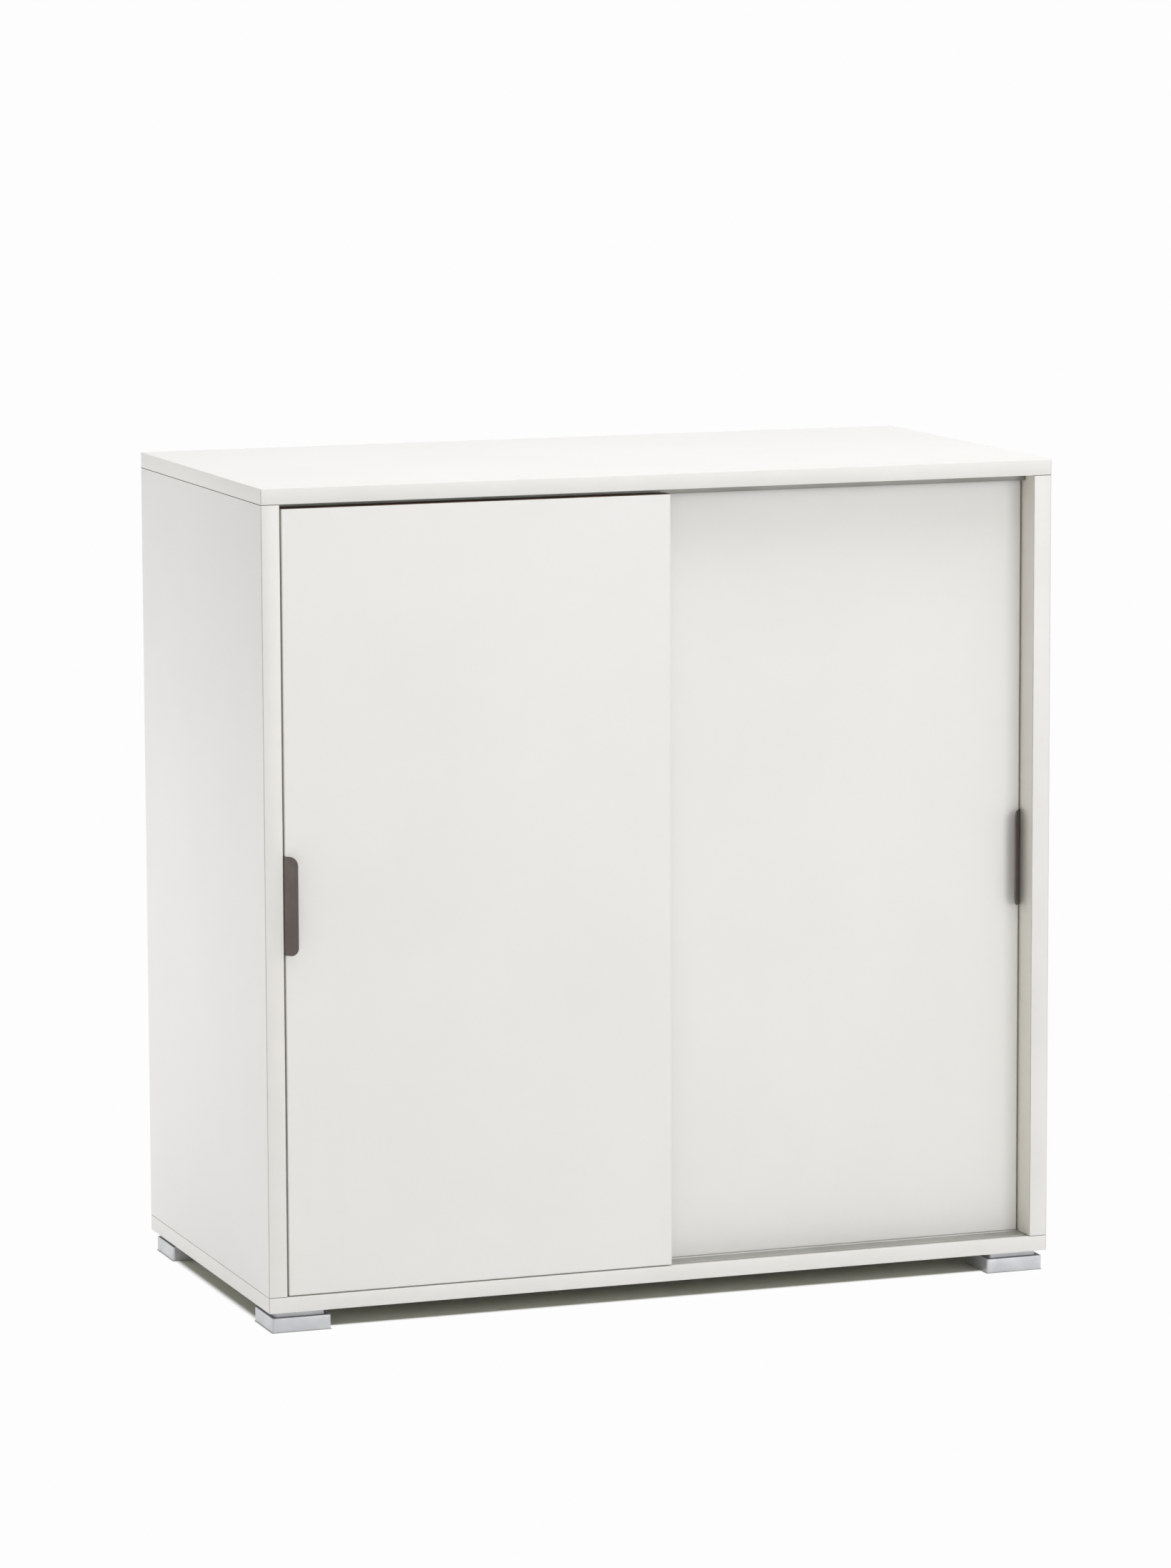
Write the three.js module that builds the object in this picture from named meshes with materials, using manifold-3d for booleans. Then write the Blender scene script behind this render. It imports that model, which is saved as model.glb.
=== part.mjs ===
// Sliding door cabinet
//
// A free-standing chipboard cabinet on four low feet. Its two doors overlap in the middle: the
// left one runs flush with the front, the right one runs behind it. Each door stands on two
// nylon wheels let into its lower edge, which roll in the grooves of an aluminium track sunk
// into the bottom panel. Two guides on each door's back reach up into a channel of the top track.
//
// Millimetres, +Z up. The origin is on the floor under the middle of the whole object, handles
// included. +X is the right hand of somebody who faces the doors, and +Y is the back.

import * as THREE from 'three';
import { mergeVertices } from 'three/addons/utils/BufferGeometryUtils.js';
import Module from 'manifold-3d';

const wasm = await Module();
wasm.setup();

// Driving dimensions

const cabinetWidth = 800;
const cabinetDepth = 406;
const cabinetHeight = 801.5;
const boardThickness = 15;
const sideThickness = 18;
const doorThickness = 15;
const backThickness = 3;

// Boards

const arrisChamfer = 0.5;
const backSetback = 8;
const backGrooveDepth = 6;
const backGrooveClearance = 0.3;
const backEdgeClearance = 0.5;
const dividerSetback = 5;
const dividerRearClearance = 0.3;

// Doors

const doorSideGap = 1.75;
const doorBottomGap = 1.25;
const doorTopGap = 4;
const doorOverlap = 11.5;
const doorSpacing = 14;

// Feet

const footBlockSize = 58;
const footBlockHeight = 14;
const footNeckSize = 48;
const footNeckHeight = 5.5;
const footCornerRadius = 2;
const footArris = 0.8;
const footWall = 2.5;
const footTopPlate = 3;
const footRib = 2;
const footPostRadius = 6;
const footSideInset = 3.75;
const footFrontInset = 3;
const footRearInset = 8;
const footPeg = { radius: 5, reach: 8 };
const footPegOffset = 12;

// Top track

const topWeb = 1.5;
const topFlangeDrop = 6.25;
const topFlange = 1.2;
const topChannelWidth = 4.8;
const trackEndClearance = 0.5;
const trackScrewCount = 4;
const trackScrewInset = 60;

// Bottom track

const bottomWeb = 1.25;
const bottomWebProud = 0.25;
const grooveDepth = 5;
const grooveWall = 1;
const kerfClearance = 0.5;
const bottomRearLip = 5;
const bottomRib = 1.2;
const bottomRibHeight = 1.25;
const bottomRibGap = 0.8;

// Wheels and their housings

const wheelRadius = 9;
const wheelWidth = 4;
const wheelSideClearance = 0.3;
const wheelFloorClearance = 0.25;
const wheelDish = 0.7;
const wheelHubRadius = 4;
const wheelRim = 2.2;
const wheelCrown = 0.6;
const axleRadius = 1.5;
const axleClearance = 0.3;
const rollerInset = 50;
const housingGap = 1;
const housingWall = 1.8;
const housingWheelGap = 0.5;
const housingRoof = 1.5;
const housingFlange = 2;
const housingEar = 8;
const housingCorner = 3;
const pocketClearance = 0.3;

// Top guides

const guideWidth = 24;
const guideReach = 9;
const guideFingerClearance = 0.6;
const guideTopClearance = 1.2;
const guideArmClearance = 1;
const guideArm = 3;
const guidePlate = 3;
const guidePlateHeight = 24;
const guideGusset = 4;
const guideInset = 62;
const guidePeg = { radius: 3, reach: 9 };
const guidePegPitch = 14;
const guidePegRise = 7;

// Handles

const handleSheet = 1.2;
const handleLength = 94;
const handleLeg = 12;
const handleBendRadius = 0.8;
const handleLean = THREE.MathUtils.degToRad(39.2);
const handlePlate = 14.6;
const handleCornerRadius = 8.5;
const handleScrewInset = 15;

// Shelves and shelf pins

const shelfSideClearance = 1;
const shelfRearClearance = 2;
const shelfSetback = 10;
const shelfHeightShare = 0.5;
const pinRadius = 2.5;
const pinDepth = 6.5;
const pinHoleDepth = 7;
const pinTongue = 9;
const pinWidth = 9;
const pinSheet = 1.25;
const pinLegHeight = 10;
const pinInset = 37;
const pinPitch = 32;
const pinRowCount = 5;

// Joining strip of the two back panels

const stripFlange = 16;
const stripFlangeThickness = 1;
const stripWeb = 1.5;
const stripEndClearance = 0.3;

// Cam locks, and the pegs that stand out of the uprights' ends: glued dowels, and the bolts
// that the cams draw in

const camRadius = 7.4;
const camDepth = 12;
const camEdgeDistance = 24;
const camInset = 50;
const camSlotWidth = 1.6;
const camSlotDepth = 1.5;
const camSlotLengthShare = 0.7;
const boltPeg = { radius: 2.5, reach: 10 };
const dowelPeg = { radius: 4, reach: 11 };
const dowelInset = 82;

// Pegs, screws and the holes that take them. A screw's head fills its countersink.

const pegArris = 0.8;
const holeClearance = 0.3;
const holeEndGap = 0.5;
const screwTip = 2.5;
const handleScrew = { headHeight: handleSheet, shankRadius: 1.4, length: 18 };
const trackScrew = { headHeight: topWeb, shankRadius: 1.6, length: 13 };

// Facets

const wheelSides = 24;
const camSides = 16;
const pegSides = 10;
const screwSides = 8;
const arcSegments = 3;
const handleArcSegments = 6;

// Every cut runs this far past the face that it opens
const cutOverrun = 1;

// Faces that several pieces share, measured from the front plane (y) and the floor (z)

const halfWidth = cabinetWidth / 2;
const innerHalfWidth = halfWidth - sideThickness;
const halfDivider = boardThickness / 2;
const footHeight = footBlockHeight + footNeckHeight;
const floorZ = footHeight + boardThickness;
const ceilingZ = cabinetHeight - boardThickness;
const fullX = [-halfWidth, halfWidth];
const fullY = [0, cabinetDepth];

const doorWidth = (2 * (innerHalfWidth - doorSideGap) + doorOverlap) / 2;
const doorHeight = ceilingZ - floorZ - doorTopGap - doorBottomGap;
const doorZ = floorZ + doorBottomGap;
const frontDoorX = doorSideGap - innerHalfWidth;
const rearDoorX = innerHalfWidth - doorSideGap - doorWidth;
const frontDoorY = 0;
const rearDoorY = doorThickness + doorSpacing;
const doorYs = [frontDoorY, rearDoorY];

const backRearY = cabinetDepth - backSetback;
const backFrontY = backRearY - backThickness;
const backGrooveY = [backFrontY - backGrooveClearance, backRearY + backGrooveClearance];
const stripFrontY = backGrooveY[0] - stripFlangeThickness;

// Tracks: the middle lines of the wheels' grooves and of the guides' channels, and the outlines

const grooveYs = doorYs.map((y) => y + doorThickness / 2);
const grooveHalf = wheelWidth / 2 + wheelSideClearance;
const grooveOuterHalf = grooveHalf + grooveWall;
const bottomTrackZ = floorZ + bottomWebProud;
const bottomTrackY = [grooveYs[0] - grooveOuterHalf, grooveYs[1] + grooveOuterHalf + bottomRearLip];

const channelYs = doorYs.map((y) => y + doorThickness + guideReach);
const channelHalf = topChannelWidth / 2;
const channelOuterHalf = channelHalf + topFlange;
const topTrackY = [channelYs[0] - channelOuterHalf, channelYs[1] + channelOuterHalf];
const trackX = [trackEndClearance - innerHalfWidth, innerHalfWidth - trackEndClearance];

// What stands behind the doors

const dividerY = [topTrackY[1] + dividerSetback, stripFrontY - dividerRearClearance];
const shelfY = [dividerY[0] + shelfSetback, backFrontY - shelfRearClearance];
const shelfZ = floorZ + (ceilingZ - floorZ) * shelfHeightShare - boardThickness / 2;
const pinZ = shelfZ - pinRadius;

// The handle reaches this far out of its door's face
const handleReach = (handleBendRadius + handleSheet) * Math.sin(handleLean)
  + handlePlate * Math.cos(handleLean);

// Finishes

const whiteBoard = { color: 0xe8e7e3, roughness: 0.55, metalness: 0 };
const whiteHardboard = { color: 0xdedcd6, roughness: 0.7, metalness: 0 };
const whitePlastic = { color: 0xe2e2df, roughness: 0.5, metalness: 0 };
const silverPlastic = { color: 0xbec1c5, roughness: 0.4, metalness: 0.1 };
const blackPlastic = { color: 0x2a2a2a, roughness: 0.5, metalness: 0 };
const aluminium = { color: 0xa9adaf, roughness: 0.35, metalness: 0.9 };
const darkMetal = { color: 0x625c58, roughness: 0.45, metalness: 0.6 };
const steel = { color: 0xb8bab8, roughness: 0.3, metalness: 1 };
const zincAlloy = { color: 0x9c9fa0, roughness: 0.4, metalness: 0.9 };

// Directions

const X = new THREE.Vector3(1, 0, 0);
const Y = new THREE.Vector3(0, 1, 0);
const Z = new THREE.Vector3(0, 0, 1);
const opposite = (direction) => direction.clone().negate();

// Solids

function toSolid(geometry) {
  const bare = geometry.clone();
  bare.deleteAttribute('normal');
  bare.deleteAttribute('uv');
  const merged = mergeVertices(bare);
  const corners = merged.index.array;
  const triangles = [];
  for (let i = 0; i < corners.length; i += 3) {
    const [a, b, c] = corners.slice(i, i + 3);
    if (a !== b && b !== c && c !== a) triangles.push(a, b, c);
  }
  return new wasm.Manifold(new wasm.Mesh({
    numProp: 3,
    vertProperties: new Float32Array(merged.attributes.position.array),
    triVerts: new Uint32Array(triangles),
  }));
}

const joined = (solids) => solids.reduce((whole, next) => whole.add(next));
const cut = (solid, tools) => tools.reduce((rest, tool) => rest.subtract(tool), solid);

function piece(name, solid, finish, position = [0, 0, 0]) {
  const { vertProperties, triVerts } = solid.getMesh();
  const geometry = new THREE.BufferGeometry();
  geometry.setAttribute('position', new THREE.BufferAttribute(vertProperties, 3));
  geometry.setIndex(new THREE.BufferAttribute(triVerts, 1));
  geometry.computeVertexNormals();
  const mesh = new THREE.Mesh(geometry, new THREE.MeshStandardMaterial(finish));
  mesh.name = name;
  mesh.position.set(...position);
  return mesh;
}

function polygon(points) {
  return new THREE.Shape(points.map(([x, y]) => new THREE.Vector2(x, y)));
}

const rectangle = ([x0, x1], [y0, y1]) => polygon([[x0, y0], [x1, y0], [x1, y1], [x0, y1]]);

function roundedSquare(size, radius) {
  const flat = size / 2 - radius;
  const corners = [[flat, -flat], [flat, flat], [-flat, flat], [-flat, -flat]];
  const outline = new THREE.Shape();
  corners.forEach(([x, y], quarter) => {
    const start = (quarter - 1) * Math.PI / 2;
    outline.absarc(x, y, radius, start, start + Math.PI / 2, false);
  });
  outline.closePath();
  return outline;
}

// An outline for X is drawn in the YZ plane, one for Y in the XZ plane and one for Z in XY
const drawnPlanes = {
  x: new THREE.Matrix4().makeBasis(Y, Z, X),
  y: new THREE.Matrix4().makeBasis(X, Z, opposite(Y)),
  z: new THREE.Matrix4(),
};

function extruded(outline, axis, [from, to]) {
  const options = { depth: to - from, bevelEnabled: false, curveSegments: arcSegments };
  const geometry = new THREE.ExtrudeGeometry(outline, options);
  geometry.applyMatrix4(drawnPlanes[axis]);
  if (axis === 'x') geometry.translate(from, 0, 0);
  if (axis === 'y') geometry.translate(0, to, 0);
  if (axis === 'z') geometry.translate(0, 0, from);
  return toSolid(geometry);
}

const block = (x, y, z) => extruded(rectangle(x, y), 'z', z);

// A plate that lies flat, with all its arrises broken
function chamferedPlate(outline, [z0, z1], chamfer) {
  const geometry = new THREE.ExtrudeGeometry(outline, {
    depth: z1 - z0 - 2 * chamfer,
    bevelThickness: chamfer,
    bevelSize: chamfer,
    bevelOffset: -chamfer,
    bevelSegments: 1,
    curveSegments: arcSegments,
  });
  geometry.translate(0, 0, z0 + chamfer);
  return toSolid(geometry);
}

const board = (x, y, z) => chamferedPlate(rectangle(x, y), z, arrisChamfer);

// A turned solid: the profile lists [radius, distance along the axis] from one end to the other
function turned(profile, sides, at, direction) {
  const points = profile.map(([radius, along]) => new THREE.Vector2(radius, along));
  const geometry = new THREE.LatheGeometry(points, sides);
  geometry.applyQuaternion(new THREE.Quaternion().setFromUnitVectors(Y, direction));
  geometry.translate(...at);
  return toSolid(geometry);
}

function rod(radius, [from, to], sides, at, direction) {
  return turned([[0, from], [radius, from], [radius, to], [0, to]], sides, at, direction);
}

// Pegs and screws, and the holes that take them. Each starts at a face and goes in a direction.

function drilled(radius, depth, sides, at, direction) {
  return rod(radius, [-cutOverrun, depth], sides, at, direction);
}

function peg({ radius, reach }, at, direction) {
  const profile = [
    [0, -cutOverrun],
    [radius, -cutOverrun],
    [radius, reach - pegArris],
    [radius - pegArris, reach],
    [0, reach],
  ];
  return turned(profile, pegSides, at, direction);
}

function pegHole({ radius, reach }, at, direction) {
  return drilled(radius + holeClearance, reach + holeEndGap, pegSides, at, direction);
}

const headRadius = ({ headHeight, shankRadius }) => shankRadius + headHeight;

function screw(size, at, direction) {
  const { headHeight, shankRadius, length } = size;
  const profile = [
    [0, 0],
    [headRadius(size), 0],
    [shankRadius, headHeight],
    [shankRadius, length - screwTip],
    [0, length],
  ];
  return turned(profile, screwSides, at, direction);
}

function screwHole(size, at, direction) {
  const { headHeight, shankRadius, length } = size;
  const shank = shankRadius + holeClearance;
  const profile = [
    [0, -cutOverrun],
    [headRadius(size) + holeClearance + cutOverrun, -cutOverrun],
    [shank, headHeight],
    [shank, length + holeEndGap],
    [0, length + holeEndGap],
  ];
  return turned(profile, screwSides, at, direction);
}

// Joints between the uprights, which are the sides and the divider, and the panels at their ends

const panelEnds = {
  bottom: { z: floorZ, outward: opposite(Z) },
  top: { z: ceilingZ, outward: Z },
};
const uprights = {
  left: { x: -innerHalfWidth - sideThickness / 2, y: fullY, hasCams: true },
  middle: { x: 0, y: dividerY, hasCams: false },
  right: { x: innerHalfWidth + sideThickness / 2, y: fullY, hasCams: true },
};

const insetPair = ([front, rear], inset) => [front + inset, rear - inset];

// The pegs at one end of an upright: what each is and where it leaves the end face
function endPegs({ x, y, hasCams }, { z }) {
  const dowels = insetPair(y, dowelInset).map((at) => ({ size: dowelPeg, at: [x, at, z] }));
  const bolts = insetPair(y, camInset).map((at) => ({ size: boltPeg, at: [x, at, z] }));
  return hasCams ? [...dowels, ...bolts] : dowels;
}

function uprightPegs(upright) {
  return Object.values(panelEnds).flatMap((end) => endPegs(upright, end)
    .map(({ size, at }) => peg(size, at, end.outward)));
}

function panelPegHoles(end) {
  return Object.values(uprights).flatMap((upright) => endPegs(upright, end)
    .map(({ size, at }) => pegHole(size, at, end.outward)));
}

// Where the cams of a side panel sit in its inner face
function camSpots({ y }) {
  return Object.entries(panelEnds).flatMap(([level, { z, outward }]) => {
    const [front, rear] = insetPair(y, camInset);
    const camZ = z - outward.z * camEdgeDistance;
    return [{ name: `${level}_front`, y: front, z: camZ }, { name: `${level}_rear`, y: rear, z: camZ }];
  });
}

// A cam, seen with its slotted face at x = 0 and its body towards +X
function camLock() {
  const slotHalf = camRadius * camSlotLengthShare;
  const width = [-camSlotWidth / 2, camSlotWidth / 2];
  const length = [-slotHalf, slotHalf];
  const depth = [-cutOverrun, camSlotDepth];
  const disc = rod(camRadius, [0, camDepth], camSides, [0, 0, 0], X);
  return cut(disc, [block(depth, width, length), block(depth, length, width)]);
}

// Shelf pins: two columns of holes in each face that a shelf can meet, and four pins a shelf

const pinYs = insetPair(dividerY, pinInset);

function pinHoles(faceX, direction) {
  const rows = Array.from({ length: pinRowCount }, (_, row) => row - (pinRowCount - 1) / 2);
  return pinYs.flatMap((y) => rows.map((row) => {
    const at = [faceX, y, pinZ + row * pinPitch];
    return drilled(pinRadius + holeClearance, pinHoleDepth, screwSides, at, direction);
  }));
}

// A pin of bent sheet on a peg. The peg goes into the board at x = 0, towards -X; the tongue
// carries the shelf and the leg lies on the board's face below it.
function shelfPin() {
  const top = pinRadius;
  const bracket = extruded(polygon([
    [0, top - pinLegHeight],
    [pinSheet, top - pinLegHeight],
    [pinSheet, top - pinSheet],
    [pinTongue, top - pinSheet],
    [pinTongue, top],
    [0, top],
  ]), 'y', [-pinWidth / 2, pinWidth / 2]);
  return bracket.add(rod(pinRadius, [-pinSheet / 2, pinDepth], screwSides, [0, 0, 0], opposite(X)));
}

// Panels

function topPanel() {
  const grooveX = [-innerHalfWidth - backGrooveDepth, innerHalfWidth + backGrooveDepth];
  const groove = block(grooveX, backGrooveY, [ceilingZ - cutOverrun, ceilingZ + backGrooveDepth]);
  const screwHoles = trackScrewSpots().map((at) => screwHole(trackScrew, at, Z));
  const panel = board(fullX, fullY, [ceilingZ, cabinetHeight]);
  return cut(panel, [groove, ...panelPegHoles(panelEnds.top), ...screwHoles]);
}

function bottomPanel() {
  const grooveX = [-innerHalfWidth - backGrooveDepth, innerHalfWidth + backGrooveDepth];
  const groove = block(grooveX, backGrooveY, [floorZ - backGrooveDepth, floorZ + cutOverrun]);
  const footHoles = footSpots().flatMap(({ x, y }) => footPegSpots(x, y)
    .map((at) => pegHole(footPeg, at, Z)));
  const panel = board(fullX, fullY, [footHeight, floorZ]);
  return cut(panel, [groove, ...bottomTrackRecess(), ...panelPegHoles(panelEnds.bottom), ...footHoles]);
}

// A side panel. Outward is -1 on the left and 1 on the right.
function sidePanel(upright, outward) {
  const inOrder = (a, b) => [Math.min(a, b), Math.max(a, b)];
  const innerX = outward * innerHalfWidth;
  const grooveX = inOrder(innerX - outward * cutOverrun, innerX + outward * backGrooveDepth);
  const groove = block(grooveX, backGrooveY, [floorZ - cutOverrun, ceilingZ + cutOverrun]);
  const direction = outward < 0 ? opposite(X) : X;
  const camPockets = camSpots(upright).map(({ y, z }) => {
    const depth = camDepth + holeClearance;
    return drilled(camRadius + holeClearance, depth, camSides, [innerX, y, z], direction);
  });
  const panel = board(inOrder(innerX, outward * halfWidth), fullY, [floorZ, ceilingZ]);
  const cuts = [groove, ...camPockets, ...pinHoles(innerX, direction)];
  return joined([cut(panel, cuts), ...uprightPegs(upright)]);
}

function centreDivider() {
  const panel = board([-halfDivider, halfDivider], dividerY, [floorZ, ceilingZ]);
  const holes = [...pinHoles(-halfDivider, X), ...pinHoles(halfDivider, opposite(X))];
  return joined([cut(panel, holes), ...uprightPegs(uprights.middle)]);
}

function shelf([x0, x1]) {
  const x = [x0 + shelfSideClearance, x1 - shelfSideClearance];
  return board(x, shelfY, [shelfZ, shelfZ + boardThickness]);
}

function backPanel(innerX, outerX) {
  const edge = backGrooveDepth - backEdgeClearance;
  return block([innerX, outerX], [backFrontY, backRearY], [floorZ - edge, ceilingZ + edge]);
}

// The strip that holds the two back panels' inner edges, an H seen from above
function backStrip() {
  const flange = stripFlange / 2;
  const web = stripWeb / 2;
  const [slotFront, slotRear] = backGrooveY;
  const rear = slotRear + stripFlangeThickness;
  return extruded(polygon([
    [-flange, stripFrontY], [flange, stripFrontY], [flange, slotFront], [web, slotFront],
    [web, slotRear], [flange, slotRear], [flange, rear], [-flange, rear],
    [-flange, slotRear], [-web, slotRear], [-web, slotFront], [-flange, slotFront],
  ]), 'z', [floorZ + stripEndClearance, ceilingZ - stripEndClearance]);
}

// Tracks

function trackScrewSpots() {
  const [first, last] = insetPair(trackX, trackScrewInset);
  const pitch = (last - first) / (trackScrewCount - 1);
  const y = (channelYs[0] + channelYs[1]) / 2;
  return Array.from({ length: trackScrewCount }, (_, i) => [first + i * pitch, y, ceilingZ - topWeb]);
}

// A web against the top panel, with two flanges that hang down round each guide channel
function topTrack() {
  const web = ceilingZ - topWeb;
  const low = ceilingZ - topFlangeDrop;
  const comb = channelYs.flatMap((y) => [
    [y - channelOuterHalf, web], [y - channelOuterHalf, low], [y - channelHalf, low],
    [y - channelHalf, web], [y + channelHalf, web], [y + channelHalf, low],
    [y + channelOuterHalf, low], [y + channelOuterHalf, web],
  ]);
  const [front, rear] = topTrackY;
  const outline = polygon([[front, ceilingZ], ...comb.slice(1, -1), [rear, ceilingZ]]);
  const holes = trackScrewSpots().map((at) => screwHole(trackScrew, at, Z));
  return cut(extruded(outline, 'x', trackX), holes);
}

// A web almost level with the bottom panel, with a groove sunk below it for each door's wheels
// and a low rib that hides the gap under the rear door
function bottomTrack() {
  const top = bottomTrackZ;
  const web = top - bottomWeb;
  const grooveFloor = top - grooveDepth;
  const low = grooveFloor - grooveWall;
  const underside = grooveYs.flatMap((y) => [
    [y - grooveOuterHalf, web], [y - grooveOuterHalf, low],
    [y + grooveOuterHalf, low], [y + grooveOuterHalf, web],
  ]);
  const [frontGroove, rearGroove] = grooveYs.map((y) => [
    [y - grooveHalf, top], [y - grooveHalf, grooveFloor],
    [y + grooveHalf, grooveFloor], [y + grooveHalf, top],
  ]);
  const ribRear = rearDoorY - bottomRibGap;
  const ribFront = ribRear - bottomRib;
  const ribTop = top + bottomRibHeight;
  const rib = [[ribFront, top], [ribFront, ribTop], [ribRear, ribTop], [ribRear, top]];
  const upperside = [...frontGroove, ...rib, ...rearGroove];
  const [front, rear] = bottomTrackY;
  const rim = [[front, top], ...underside.slice(1), [rear, web], [rear, top]];
  return extruded(polygon([...rim, ...upperside.reverse()]), 'x', trackX);
}

function bottomTrackRecess() {
  const x = [-innerHalfWidth, innerHalfWidth];
  const widened = ([from, to]) => [from - kerfClearance, to + kerfClearance];
  const shallow = block(x, widened(bottomTrackY), [bottomTrackZ - bottomWeb, floorZ + cutOverrun]);
  const kerfFloor = bottomTrackZ - grooveDepth - grooveWall - kerfClearance;
  const kerfs = grooveYs.map((y) => {
    const kerfY = widened([y - grooveOuterHalf, y + grooveOuterHalf]);
    return block(x, kerfY, [kerfFloor, floorZ]);
  });
  return [shallow, ...kerfs];
}

// Feet

function footSpots() {
  const x = halfWidth - footSideInset - footBlockSize / 2;
  const front = footFrontInset + footBlockSize / 2;
  const rear = cabinetDepth - footRearInset - footBlockSize / 2;
  return [
    { name: 'front_left_foot', x: -x, y: front },
    { name: 'front_right_foot', x, y: front },
    { name: 'rear_left_foot', x: -x, y: rear },
    { name: 'rear_right_foot', x, y: rear },
  ];
}

const footPegSpots = (x, y) => [-footPegOffset, footPegOffset].map((d) => [x + d, y + d, footHeight]);

// A moulded foot, open below: a block with a narrower neck over it, crossed ribs and a post
// inside, and two pegs that are pressed into the bottom panel
function foot() {
  const across = (half) => [-half, half];
  const blockHalf = footBlockSize / 2 - footWall;
  const neckHalf = footNeckSize / 2 - footWall;
  const blockRoof = footBlockHeight - footWall;
  const neckRoof = footHeight - footTopPlate;
  const blockOutline = roundedSquare(footBlockSize, footCornerRadius);
  const lower = chamferedPlate(blockOutline, [0, footBlockHeight], footArris);
  const neck = extruded(roundedSquare(footNeckSize, footCornerRadius), 'z', [blockRoof, footHeight]);
  const cavity = block(across(blockHalf), across(blockHalf), [-cutOverrun, blockRoof])
    .add(block(across(neckHalf), across(neckHalf), [0, neckRoof]));
  const ribs = joined([
    block(across(footRib / 2), across(blockHalf), [0, neckRoof]),
    block(across(blockHalf), across(footRib / 2), [0, neckRoof]),
    rod(footPostRadius, [0, neckRoof], camSides, [0, 0, 0], Z),
  ]);
  const pegs = footPegSpots(0, 0).map((at) => peg(footPeg, at, Z));
  return joined([lower.add(neck).subtract(cavity.subtract(ribs)), ...pegs]);
}

// Door parts. Each is drawn in its own frame, and the door's group puts it in place. The door's
// frame starts at the lower left corner of its front face.

const rollerXs = [rollerInset, doorWidth - rollerInset];
const guideXs = [guideInset, doorWidth - guideInset];
const doorMiddleY = doorThickness / 2;
const wheelZ = bottomTrackZ - grooveDepth + wheelFloorClearance + wheelRadius - doorZ;
const handleZ = doorHeight / 2;
const handleScrewZs = insetPair([-handleLength / 2, handleLength / 2], handleScrewInset);

const housingHalfX = wheelRadius + housingGap + housingWall;
const housingHalfY = wheelWidth / 2 + housingWheelGap + housingWall;
const housingRoofZ = wheelZ + wheelRadius + housingGap;
const housingTopZ = housingRoofZ + housingRoof;
const flangeHalfX = housingHalfX + housingEar;

const guideArmTop = -topFlangeDrop - guideArmClearance;
const guideFootZ = guideArmTop - guidePlateHeight;
const guideOriginZ = ceilingZ - doorZ;

// The pocket in a door's lower edge for a roller housing and its flange
function rollerPocket(x) {
  const halfX = housingHalfX + pocketClearance;
  const halfY = housingHalfY + pocketClearance;
  const flangeX = flangeHalfX + pocketClearance;
  const y = [doorMiddleY - halfY, doorMiddleY + halfY];
  return [
    block([x - halfX, x + halfX], y, [-cutOverrun, housingTopZ + pocketClearance]),
    block([x - flangeX, x + flangeX], y, [-cutOverrun, housingFlange]),
  ];
}

// A door's board. The handle is on the left edge if handleSide is -1 and on the right if it is 1.
function doorLeaf(handleSide) {
  const edgeX = handleSide < 0 ? 0 : doorWidth;
  const intoEdge = handleSide < 0 ? X : opposite(X);
  const handleHoles = handleScrewZs.map((z) => {
    const at = [edgeX + handleSide * handleSheet, doorMiddleY, handleZ + z];
    return screwHole(handleScrew, at, intoEdge);
  });
  const guideHoles = guideXs.flatMap((x) => guidePegSpots()
    .map(([dx, , dz]) => pegHole(guidePeg, [x + dx, doorThickness, guideOriginZ + dz], opposite(Y))));
  const leaf = board([0, doorWidth], [0, doorThickness], [0, doorHeight]);
  return cut(leaf, [...rollerXs.flatMap(rollerPocket), ...handleHoles, ...guideHoles]);
}

// A housing round the upper part of a wheel, with a flange that lies in the door's lower edge
function rollerHousing() {
  const outline = polygon([
    [-flangeHalfX, 0],
    [flangeHalfX, 0],
    [flangeHalfX, housingFlange],
    [housingHalfX, housingFlange],
    [housingHalfX, housingTopZ - housingCorner],
    [housingHalfX - housingCorner, housingTopZ],
    [housingCorner - housingHalfX, housingTopZ],
    [-housingHalfX, housingTopZ - housingCorner],
    [-housingHalfX, housingFlange],
    [-flangeHalfX, housingFlange],
  ]);
  const slotX = wheelRadius + housingGap;
  const slotY = wheelWidth / 2 + housingWheelGap;
  const slot = block([-slotX, slotX], [-slotY, slotY], [-cutOverrun, housingRoofZ]);
  const boreEnds = [-housingHalfY - cutOverrun, housingHalfY + cutOverrun];
  const bore = rod(axleRadius + axleClearance, boreEnds, pegSides, [0, 0, wheelZ], Y);
  return cut(extruded(outline, 'y', [-housingHalfY, housingHalfY]), [slot, bore]);
}

// A nylon wheel with a hub, a dished web and a crowned rim
function wheel() {
  const bore = axleRadius + axleClearance;
  const face = wheelWidth / 2;
  const web = face - wheelDish;
  const rimRadius = wheelRadius - wheelRim;
  const upper = [
    [wheelRadius, face - wheelCrown],
    [wheelRadius - wheelCrown, face],
    [rimRadius, face],
    [rimRadius, web],
    [wheelHubRadius, web],
    [wheelHubRadius, face],
    [bore, face],
  ];
  const lower = upper.map(([radius, along]) => [radius, -along]).reverse();
  return turned([...lower, ...upper, lower[0]], wheelSides, [0, 0, 0], Y);
}

function axle() {
  const half = housingHalfY - axleClearance;
  return rod(axleRadius, [-half, half], pegSides, [0, 0, 0], Y);
}

// Where a guide's pegs leave its plate, seen from the door's back face and the top panel
function guidePegSpots() {
  const z = guideFootZ + guidePegRise;
  return [[-guidePegPitch / 2, 0, z], [guidePegPitch / 2, 0, z]];
}

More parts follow.
